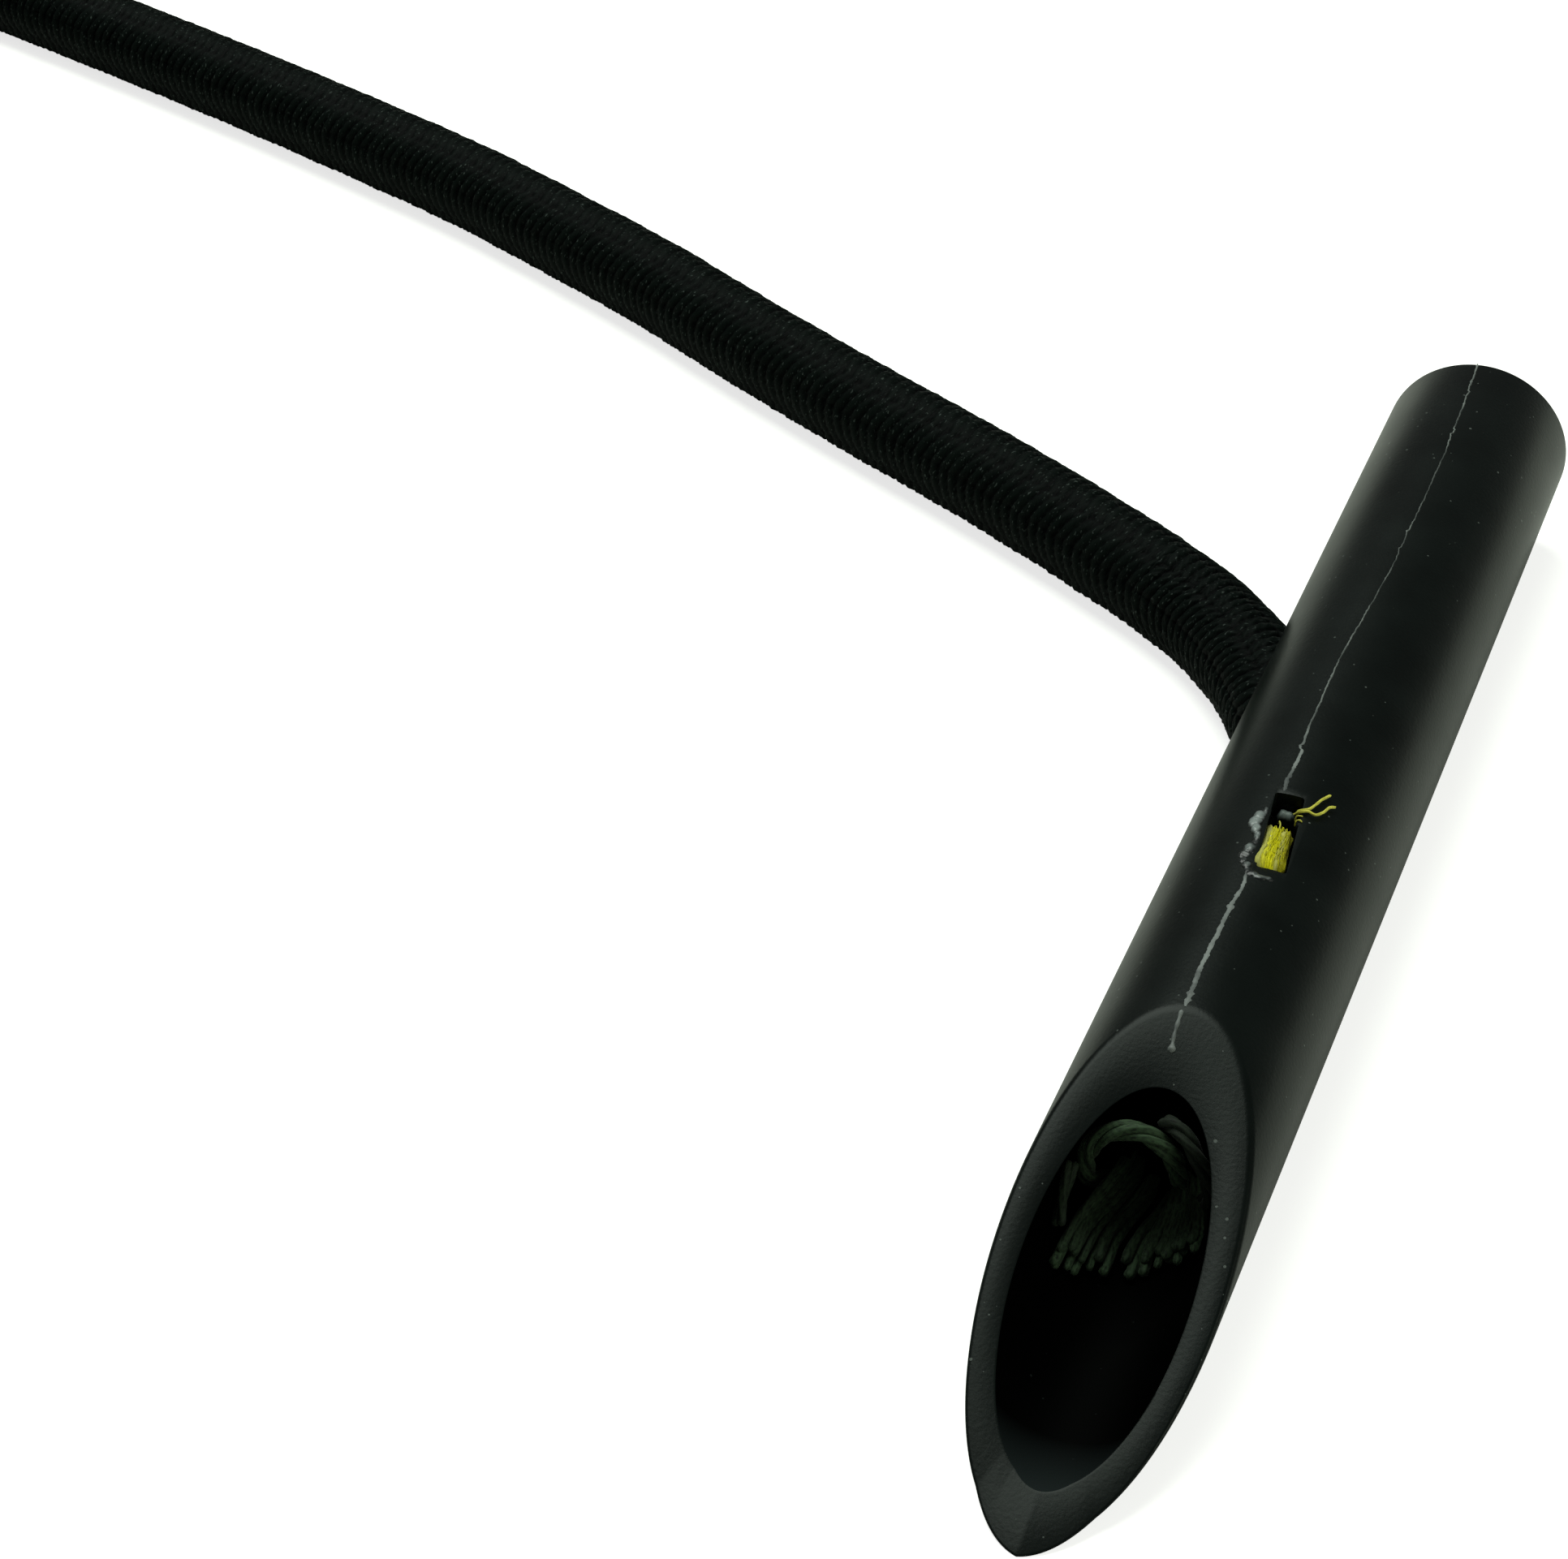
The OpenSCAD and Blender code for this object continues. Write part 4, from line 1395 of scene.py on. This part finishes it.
@dataclass
class FrayedEnd:
    """The yarns of the emptied sheath: two bundles fanned out down the bore, and loops that turn back."""

    tube: ToggleTube
    mouth: Vector
    yarn_d: float = 0.46
    layers: int = 2
    layer_gap: float = 0.36
    end_x: float = 31.4  # where the longest yarns end
    bundle_spin: Spin = Spin(5, 2.2, 0.14)
    loop_spin: Spin = Spin(5, 2.2, 0.12)
    bundles: tuple[Bundle, ...] = (
        Bundle((-115.0, -10.0), (-56.0, -18.0), 6),
        Bundle((10.0, 115.0), (-6.0, 44.0), 8),
    )
    loops: tuple[Loop, ...] = (
        Loop(
            (
                (25.6, -2.6, 2.6), (27.0, -3.5, 3.7), (27.8, -3.5, 5.6), (28.1, -2.9, 7.3), (28.1, -1.6, 8.3),
                (28.1, -0.3, 8.35), (28.0, 0.7, 7.6), (27.6, 1.2, 6.2), (27.0, 1.3, 4.8),
            ),
            4, 0.3, 0.0,
        ),
        Loop(
            (
                (27.2, 0.2, 8.6), (27.6, 0.9, 8.9), (28.2, 2.2, 8.0), (28.2, 2.9, 6.6), (27.8, 3.1, 5.2),
                (27.2, 2.6, 4.0),
            ),
            3, 0.24, 0.8,
        ),
        Loop(((28.6, -4.0, 5.9), (30.3, -3.95, 5.0), (31.7, -3.75, 4.2)), 2, 0.16, 0.6),
    )

    def _line(self, bundle: Bundle, out: float, layer: int, draw: random.Random) -> Centreline:
        """The middle line of one yarn, from inside the sheath's end to the bore's floor."""
        jitter = draw.uniform(-3.0, 3.0)
        fans = (bundle.root_fan, bundle.end_fan)
        from_a, to_a = (math.radians(low + (high - low) * out + jitter) for low, high in fans)
        from_r = draw.uniform(1.1, 2.0)
        to_r = self.tube.bore_r - self.yarn_d / 2 - 0.08 - self.layer_gap * layer
        end_y, end_z = to_r * math.sin(to_a), self.tube.tube_r - to_r * math.cos(to_a)
        start_z = self.mouth.z - from_r * math.cos(from_a)
        start = Vector((self.mouth.x - 1.0, from_r * math.sin(from_a), start_z))
        end_x = self.end_x - 0.6 * end_y + draw.uniform(-0.45, 0.35) - 0.5 * layer
        sway, phase = draw.uniform(0.04, 0.12), draw.uniform(0.0, 6.0)
        points = []
        for i in range(9):
            share = i / 8
            ease = float(smooth_step(np.array(share / 0.75)))
            wave = sway * math.sin(5 * share + phase) * share
            y = (1 - ease) * start.y + ease * end_y + wave
            points.append((start.x + share * (end_x - start.x), y, (1 - ease) * start.z + ease * end_z))
        return Centreline(points, 6)

    def _twist(self, skin: Skin, loop: Loop) -> None:
        """Twists the yarns of a loop about its line."""
        spine = Centreline(loop.points, 12, up=(1.0, 0.0, 0.0))
        along = np.linspace(0.0, spine.length, 60)
        level, rise = spine.frames(along)
        for number in range(loop.yarns):
            turn = 2 * math.pi * (number / loop.yarns + along / 7.0)[:, None]
            aside = loop.apart * (np.cos(turn) * level + np.sin(turn) * rise)
            line = Centreline(spine.at(along) + aside, 2, up=(1.0, 0.0, 0.0))
            skin.yarn(line, self.yarn_d / 2, 16, 0.1, self.loop_spin, stain=loop.dark)

    def build(self, fray: Material) -> None:
        """Makes the yarns.

        Args:
            fray: Their finish.
        """
        draw, skin = random.Random(5), Skin()
        for bundle in self.bundles:
            for layer in range(self.layers):
                for place in range(bundle.a_layer):
                    line = self._line(bundle, (place + 0.5) / bundle.a_layer, layer, draw)
                    size = self.yarn_d / 2 * draw.uniform(0.8, 1.2)
                    # Painted shade on the lower layer.
                    skin.yarn(line, size, 16, 0.1, self.bundle_spin, stain=0.3 * layer)
        for loop in self.loops:
            self._twist(skin, loop)
        strands = skin.piece("strands")
        finished(strands, "frayed_strands", Body.TOGGLE, Slot.FRAY, fray)
        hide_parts("sheath_strands")


# ---- the cord ----


@dataclass
class ElasticCord:
    """The braided cord, from its frayed end through the port and along the floor to its coil and knot."""

    tube: ToggleTube
    braid: Braid = field(default_factory=Braid)
    cord_d: float = 6.2
    tail_clearance: float = 0.25
    end_d: float = 4.8
    taper: tuple[float, ...] = (1.0, 0.8, 0.5, 0.2)  # shares of the way to end_d, at the route's first points
    hollow: float = 3.0  # how deep the sheath's end is empty
    lining: float = 0.74  # its hollow's size as a share of the sheath's
    step: float = 0.16  # between rings of the tail and the knot
    sink: float = 8.0  # length over which the weave sinks into the plain coil
    coil_turns: int = 3
    coil_inner_r: float = 27.0
    coil_gap: float = 0.6
    coil_start: float = 162.0
    coil_entry: tuple[float, float] = (-83.0, -166.0)
    inner_bend_r: float = 12.5
    tie_at: float = 150.0
    tie_lift: float = 1.05
    lift_spread: float = 50.0
    knot_reach: float = 3.4
    knot_tail: float = 8.0

    def __post_init__(self) -> None:
        """Works out the route, once as a list of points and once as a smooth line."""
        self.cord_r = self.cord_d / 2
        self.tail_z = self.tube.tube_r - self.tube.bore_r + self.cord_r + self.tail_clearance
        self.around = math.pi * self.cord_d
        tail, neck, lead = self._tail(), self._neck(), self._lead()
        coil, knot = self._coil(), self._knot()
        self.route = tail + neck + lead + coil + knot
        self.line = Centreline(self.route)
        places = self.line.knot_along
        ends = np.cumsum([len(tail), len(neck), len(lead), len(coil)]) - 1
        self.tail_end, self.neck_end, self.lead_end, self.coil_end = (float(places[i]) for i in ends)

    def _from_port(self, points: Sequence[Point]) -> list[tuple[float, float, float]]:
        """Moves points that count from the port into the frame."""
        return [(x + self.tube.port_x, y, z) for x, y, z in points]

    def _tail(self) -> list[tuple[float, float, float]]:
        """The stretch in the bore, from the frayed end."""
        z = self.tail_z
        drops = ((41, 0.75), (37, 0.65), (33, 0.4), (29, 0.15), (25, 0), (21, 0), (17, 0))
        return self._from_port([(x, 0, z - drop) for x, drop in drops] + [(13, -0.2, z), (9, -0.5, z)])

    def _neck(self) -> list[tuple[float, float, float]]:
        """The bend through the port."""
        inside = [(7, -0.95, 4.75), (4, -2.1, 4.6), (0, -4.15, 4.35), (-3, -5.7, 4.1)]
        outside = [(-6, -7.5, 3.8), (-9, -9.7, 3.4), (-12, -12.5, 3.15), (-14, -15, self.cord_r)]
        return self._from_port(inside + outside)

    def _lead(self) -> list[tuple[float, float, float]]:
        """The stretch along the floor, out of view."""
        run = [
            (-18, -21), (-24, -31), (-30, -42), (-36, -52.5), (-42, -62.5), (-47, -72), (-52, -82),
            (-56, -91.5), (-60, -101.5), (-64, -112), (-68, -123), (-72, -134.5), (-75.5, -145),
        ]
        heading = math.radians(self.coil_start + 90)
        along = (math.cos(heading), math.sin(heading))
        x, y = (self.coil_entry[i] - self.cord_d * along[i] for i in range(2))
        run += [(x + k * self.cord_d * along[0], y + k * self.cord_d * along[1]) for k in (-1, 0)]
        return self._from_port([(x, y, self.cord_r) for x, y in run])

    @property
    def coil_pitch(self) -> float:
        """Distance between the middle lines of neighbouring turns."""
        return self.cord_d + self.coil_gap

    @property
    def coil_outer_r(self) -> float:
        """Radius at which the coil starts."""
        return self.coil_inner_r + self.coil_turns * self.coil_pitch

    @property
    def coil_middle(self) -> Vector:
        """Middle of the coil on the floor."""
        start = math.radians(self.coil_start)
        entry = Vector((self.coil_entry[0] + self.tube.port_x, self.coil_entry[1], 0))
        return entry - self.coil_outer_r * Vector((math.cos(start), math.sin(start), 0))

    def _hump(self, turned: float) -> float:
        """How far the coil rises over the strap."""
        off = abs((turned - self.tie_at + 540) % 360 - 180)
        if off >= self.lift_spread:
            return 0.0
        return self.tie_lift * (1 + math.cos(math.pi * off / self.lift_spread)) / 2

    def _coil(self) -> list[tuple[float, float, float]]:
        """The spiral, 24 points a turn, and the bend that leads to the knot."""
        points, hub = [], self.coil_middle
        for i in range(self.coil_turns * 24 + 1):
            turned = i * 15.0
            r, a = self.coil_outer_r - self.coil_pitch * turned / 360, math.radians(self.coil_start + turned)
            z = self.cord_r + self._hump(turned)
            points.append((hub.x + r * math.cos(a), hub.y + r * math.sin(a), z))
        points += [self._bend_point(i * self.bend_sweep / 8) for i in range(1, 9)]
        return points + [tuple(Vector(points[-1]) + self.cord_d * self._knot_along())]

    @property
    def knot_ring_r(self) -> float:
        """Radius of the ring that the knot winds about."""
        return 2.6 * self.knot_reach

    @property
    def bend_sweep(self) -> float:
        """Degrees that the last bend turns before the knot."""
        exit_y = self.knot_ring_r * math.sin(math.radians(60))
        share = (exit_y - self.inner_bend_r) / (self.coil_inner_r - self.inner_bend_r)
        return 90 - math.degrees(math.asin(share))

    def _bend_point(self, turned: float) -> tuple[float, float, float]:
        """A point of the bend inside the coil."""
        start, a = math.radians(self.coil_start), math.radians(self.coil_start + turned)
        shift = self.coil_inner_r - self.inner_bend_r
        hub, r = self.coil_middle + shift * Vector((math.cos(start), math.sin(start), 0)), self.inner_bend_r
        return hub.x + r * math.cos(a), hub.y + r * math.sin(a), self.cord_r

    def _knot_along(self) -> Vector:
        """Heading of the cord as it enters the knot."""
        heading = math.radians(self.coil_start + self.bend_sweep + 90)
        return Vector((math.cos(heading), math.sin(heading), 0))

    def _knot_curve(self, degrees: float) -> Vector:
        """A point of the knot, which runs twice round a ring and winds three times about it."""
        t = math.radians(degrees)
        r = self.knot_ring_r + self.knot_reach * math.cos(3 * t)
        z = self.cord_r + self.knot_reach * (1 - math.sin(3 * t))
        return Vector((r * math.cos(2 * t), r * math.sin(2 * t), z))

    def _knot(self) -> list[tuple[float, float, float]]:
        """The knot and its free end."""
        start = Vector(self._bend_point(self.bend_sweep)) + self.cord_d * self._knot_along()
        bend = start + self.cord_d * self._knot_along()
        turn = Matrix.Rotation(math.radians(self.coil_start + self.bend_sweep + 90 + 180), 3, "Z")
        origin = self._knot_curve(30)
        run = [self._knot_curve(30 + i * 300 / 44) for i in range(45)]
        end = self._knot_curve(330)
        run += [end + Vector((self.knot_tail / 2, 0, -0.3)), end + Vector((self.knot_tail, 0, -1.0))]
        run.append(end + Vector((self.knot_tail + 0.8, 0, -1.2)))
        points = [(start + bend) / 2]
        for p in run:
            flat = turn @ Vector((p.x - origin.x, p.y - origin.y, 0))
            points.append(Vector((bend.x + flat.x, bend.y + flat.y, p.z)))
        return [tuple(p) for p in points]

    def _radius(self, along: np.ndarray) -> np.ndarray:
        """The sheath's mean radius, which narrows towards the frayed end and the sealed tip."""
        knots = self.line.knot_along
        shares = np.zeros(len(knots))
        shares[: len(self.taper)] = self.taper
        narrowed = self.cord_r + np.interp(along, knots, shares) * (self.end_d / 2 - self.cord_r)
        left = np.clip((self.line.length - along) / 1.2, 0.0, 1.0)
        return narrowed * (0.55 + 0.45 * np.sqrt(1 - (1 - left) ** 2))

    def _rings(
        self, start: float, end: float, sides: int, step: float, raised: Along = np.ones_like
    ) -> tuple[np.ndarray, np.ndarray, dict[str, np.ndarray]]:
        """Works out the rings of one stretch.

        Args:
            start: Where it starts along the cord.
            end: Where it ends.
            sides: Points a ring.
            step: Distance between rings.
            raised: Gives the share of the weave that is in the mesh at each place.

        Returns:
            The rings' points, their places along the cord, and each point's crest and flat attributes.
        """
        along = np.linspace(start, end, max(2, round((end - start) / step)) + 1)
        share = raised(along)[:, None]
        height = self.braid.height(along[:, None], np.arange(sides)[None, :] / sides)
        points = self.line.rings(along, self._radius(along)[:, None] + share * height)
        return points, along, {"crest": share * self.braid.crest(height), "flat": 1 - share}

    def _stretch(self, start: float, end: float, sides: int, step: float) -> Object:
        """Makes one closed stretch of cord with its weave raised in the mesh."""
        skin = Skin()
        points, along, traits = self._rings(start, end, sides, step)
        skin.closed(points, along, self.around, **traits)
        return skin.piece("stretch")

    def build_tail(self, braid: Material) -> None:
        """Makes the stretch in the bore, whose sheath is empty at its end."""
        skin = Skin()
        points, along, traits = self._rings(0.0, self.tail_end, 72, self.step)
        count = round(self.hollow / self.step)
        spine = self.line.at(along[:count])[:, None]
        lining = (spine + self.lining * (points[:count] - spine))[::-1]
        # Painted shade: the hollow's lining gets no crest, so the braid colours it the valleys' near black.
        crest = np.concatenate([0 * traits["crest"][:count], traits["crest"]])
        places = np.concatenate([-along[:count][::-1] - 0.05, along])
        skin.closed(np.concatenate([lining, points]), places, self.around, crest=crest, flat=0.0)
        tail = skin.piece("tail")
        finished(tail, "tail_braid", Body.TOGGLE, Slot.BRAID, braid)
        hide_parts("cord_tail")

    def build_neck(self, braid: Material) -> Object:
        """Makes the bend at the port, between the two bodies; it is set on neither of them.

        Args:
            braid: Its finish.

        Returns:
            The piece.
        """
        neck = self._stretch(self.tail_end, self.neck_end, 192, 0.1)
        dress(neck, "neck_braid", Slot.BRAID, braid)
        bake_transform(neck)
        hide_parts("cord_neck")
        return neck

    def build_run(self, braid: Material) -> Object:
        """Makes the lead and the coil as one tube, finer where it is near the toggle.

        Args:
            braid: Its finish.

        Returns:
            The piece.
        """

        def sinking(along: np.ndarray) -> np.ndarray:
            """The weave's share in the lead's mesh, which sinks to nothing at the coil."""
            return smooth_step((self.lead_end - along) / self.sink)

        skin, sides = Skin(), 76
        points, along, traits = self._rings(self.neck_end, self.lead_end, sides, 0.18, sinking)
        first = skin.rings(points, along, self.around, **traits)
        skin.cap(first, sides, True, along[0] / self.around)
        last_fine = first + (len(along) - 1) * sides
        sides //= 2
        points, along, traits = self._rings(self.lead_end, self.coil_end, sides, 1.05, np.zeros_like)
        coarse = skin.rings(points, along, self.around, **traits)
        skin.halve(last_fine, coarse, sides, self.lead_end, self.around)
        skin.cap(coarse + (len(along) - 1) * sides, sides, False, along[-1] / self.around)
        run = skin.piece("run")
        finished(run, "lead_and_coil_braid", Body.CORD, Slot.BRAID, braid)
        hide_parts("cord_lead", "cord_coil")
        return run

    def build_knot(self, braid: Material) -> Object:
        """Makes the stopper knot.

        Args:
            braid: Its finish.

        Returns:
            The piece.
        """
        knot = self._stretch(self.coil_end, self.line.length, 72, self.step)
        finished(knot, "stopper_knot_braid", Body.CORD, Slot.BRAID, braid)
        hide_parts("stopper_knot")
        return knot

    def declare(self, run: Object) -> None:
        """Works out points every 2 mm along the lead and the coil, and keeps none of them.

        Args:
            run: The lead and coil; not used.
        """
        places = np.append(np.arange(self.neck_end, self.coil_end, 2.0), self.coil_end)
        (self.line.at(places) * MM).tolist()


@dataclass
class CoilTie:
    """The woven strap round the coil's turns."""

    cord: ElasticCord
    width: float = 12.0
    thick: float = 0.8
    gap: float = 0.35
    over_gap: float = 0.1
    corner: float = 2.5
    edge: float = 0.28  # over which its sides are rounded

    def _loop(self) -> list[tuple[float, float, float, float]]:
        """Walks round the strap's middle.

        Returns:
            Place outwards, height, and the outward normal's two parts, at each step.
        """
        cord = self.cord
        outer = cord.coil_outer_r - cord.coil_pitch * cord.tie_at / 360
        inner = outer - (cord.coil_turns - 1) * cord.coil_pitch
        low = math.sqrt(inner**2 - self.width**2 / 4) - cord.cord_r - self.gap - self.thick / 2
        high = outer + cord.cord_r + self.gap + self.thick / 2
        bottom = self.thick / 2
        top = cord.tie_lift + cord.cord_d + self.over_gap + self.thick / 2
        r = self.corner - self.thick / 2
        walk = []
        corners = (
            (high - r, bottom + r, -90),
            (high - r, top - r, 0),
            (low + r, top - r, 90),
            (low + r, bottom + r, 180),
        )
        for x, z, start in corners:
            for i in range(13):
                a = math.radians(start + 90 * i / 12)
                walk.append((x + r * math.cos(a), z + r * math.sin(a), math.cos(a), math.sin(a)))
        return walk

    def build(self, strap: Material) -> Object:
        """Makes the strap.

        Args:
            strap: Its finish.

        Returns:
            The piece.
        """
        walk = self._loop()
        half, thick, edge = self.width / 2, self.thick / 2, self.edge
        section = [(-half, 0.0), (-half + edge * 0.3, thick * 0.7), (-half + edge, thick)]
        section += [(-half + self.width * i / 24, thick) for i in range(1, 24)]
        section += [(half - edge, thick), (half - edge * 0.3, thick * 0.7), (half, 0.0)]
        section += [(x, -z) for x, z in section[-2:0:-1]]
        angle = math.radians(self.cord.coil_start + self.cord.tie_at)
        out = Vector((math.cos(angle), math.sin(angle), 0))
        side = Vector((-math.sin(angle), math.cos(angle), 0))
        centre = self.cord.coil_middle
        walk.append(walk[0])
        rings, along = [], [0.0]
        for (x, z, _, _), (after_x, after_z, _, _) in zip(walk, walk[1:]):
            along.append(along[-1] + math.hypot(after_x - x, after_z - z))
        for x, z, nx, nz in walk:
            ring = [centre + out * (x + nx * up) + side * across for across, up in section]
            for place, (_, up) in zip(ring, section):
                place.z = z + nz * up
            rings.append(ring)
        skin = Skin()
        skin.rings(np.array(rings), np.array(along), 1.0)
        loop = skin.piece("strap")
        for corner in loop.data.uv_layers["braid"].data:
            corner.uv.x *= 2 * self.width
        face_outwards(loop, 1e-3)
        soften(loop, 60)
        finished(loop, "coil_strap", Body.CORD, Slot.STRAP, strap)
        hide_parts("coil_tie")
        return loop


# ---- the studio ----


@dataclass
class Studio:
    """A pale floor, soft broad light and the camera."""

    floor_size: float = 3.0
    floor_colour: str = "#e9ede3"
    camera_at: Point = (0.164163, 0.033016, 0.129216)
    camera_right: Point = (-0.35568, 0.93457, -0.00832)
    camera_up: Point = (-0.54392, -0.19975, 0.81502)
    camera_back: Point = (0.76003, 0.29441, 0.57938)
    lens: float = 83.851

    def camera(self) -> None:
        """Sets the camera."""
        data = bpy.data.cameras.new("camera")
        data.lens = self.lens
        data.sensor_width = 36.0
        data.clip_start, data.clip_end = 0.01, 20.0
        camera = bpy.data.objects.new("camera", data)
        bpy.context.scene.collection.objects.link(camera)
        axes = Matrix((self.camera_right, self.camera_up, self.camera_back)).transposed()
        camera.matrix_world = Matrix.Translation(self.camera_at) @ axes.to_4x4()
        bpy.context.scene.camera = camera

    def floor(self) -> None:
        """Lays the white floor, which keeps the object's soft shadow."""
        floor = primitive(bpy.ops.mesh.primitive_plane_add, size=self.floor_size, location=(0, 0, 0))
        floor.name = "floor"
        recipe = Recipe(bpy.data.materials.new("white_table"))
        add = recipe.add
        paint = {"Base Color": linear(self.floor_colour), "Roughness": 0.9, "Specular IOR Level": 0.1}
        rays = add("LightPath").node.outputs
        seen = add("Math.MAXIMUM", (rays["Is Camera Ray"], rays["Is Transmission Ray"]))
        away = add("VectorMath.LENGTH", (add("TexCoord", out="Object"),), "Value")
        share = add("MapRange", (away, 0.4, 1.0, 0.75, 1.0))
        glow = add("Emission", (WHITE, add("Math.MULTIPLY", (seen, share))))
        add("OutputMaterial", (add("AddShader", (add("BsdfPrincipled", paint), glow)),))
        floor.data.materials.append(recipe.owner)

    def light(self, name: str, place: Point, aim: Point, size: Point, power: float, colour: str) -> None:
        """Hangs one area lamp.

        Args:
            name: The lamp's name.
            place: Where it hangs, in metres.
            aim: The point that it faces.
            size: Its width and height.
            power: In watts.
            colour: Its sRGB hex colour.
        """
        data = bpy.data.lights.new(name, "AREA")
        data.shape = "RECTANGLE"
        data.size, data.size_y = size
        data.energy = power
        data.color = linear(colour)[:3]
        lamp = bpy.data.objects.new(name, data)
        lamp.location = place
        lamp.rotation_euler = (Vector(aim) - Vector(place)).to_track_quat("-Z", "Y").to_euler()
        bpy.context.scene.collection.objects.link(lamp)

    def world(self) -> None:
        """Fills the room with a plain pale light, white where the camera sees it."""
        world = bpy.data.worlds.new("room")
        recipe = Recipe(world)
        seen = recipe.add("LightPath", out="Is Camera Ray")
        strength = recipe.add("MapRange", {0: seen, 3: 0.11, 4: 1.0})
        recipe.add("OutputWorld", (recipe.add("Background", (WHITE, strength)),))
        bpy.context.scene.world = world

    def build(self) -> None:
        """Sets up camera, floor, lamps and world."""
        self.camera()
        self.floor()
        self.world()
        self.light("window_light", (-0.3, -0.35, 0.88), (0, 0, 0), (0.7, 0.7), 8.5, "#f4fcf4")
        self.light("fill_light", (0.2, 0.75, 0.4), (0, 0, 0.01), (0.6, 0.4), 2.0, "#faffee")


def main() -> None:
    """Builds the studio and every piece."""
    logging.basicConfig(level=logging.INFO, format="%(message)s")
    bpy.context.scene.view_settings.view_transform = "Standard"
    Studio().build()
    tube = ToggleTube()
    cord = ElasticCord(tube)
    braid = BraidedSheath(around=cord.around, rib=cord.braid.rib, strands=cord.braid.strands).build()
    neck, run, knot = cord.build_neck(braid), cord.build_run(braid), cord.build_knot(braid)
    cord.build_tail(braid)
    tie = CoilTie(cord).build(WovenStrap().build())
    cord.declare(run)
    # Painted shade: the bore's plastic is near black, with painted daylight near the mouth's tip; its pale
    # specks are dust.
    bore = MouldedPlastic(
        "bore_plastic_painted_shade", "#000000", "#010101", "#232726", roughness=0.55, gloss=0.012, painted_daylight="#1c2222"
    )
    tube.build(MouldedPlastic().build(), bore.build())
    MouldSeam(tube).build(SeamFlash().build())
    glue = GlueWork(tube)
    noise.seed_set(GLUE_SEED)
    glue.build_beads(DriedGlue("milky_dried_glue", "#141918", "#8b9592", 0.3, 0.1).build())
    # The collar's glue: near black as painted shade in the bore, paler on its crown in the window.
    dark = DriedGlue("dried_glue_painted_bore_shade", "#0e1312", "#818f8a", 0.45, 0.0).build()
    glue.build_collar(dark, cord.cord_r, cord.tail_z)
    CoreBundle(tube).build(
        Thread("yellow_core_yarn", "#a9a300", "#e4e000", fibre_highlight="#f0efc4").build(),
        Thread("loose_yellow_thread", "#a8a52c", "#dcd95a").build(),
    )
    # Its near-black last colour is painted shade on the lower layer and on the darker loops.
    fray = Thread("green_black_fray", "#0f180f", "#33482f", stain="#030403")
    FrayedEnd(tube, Vector(cord.route[0])).build(fray.build())


if __name__ == "__main__":
    main()
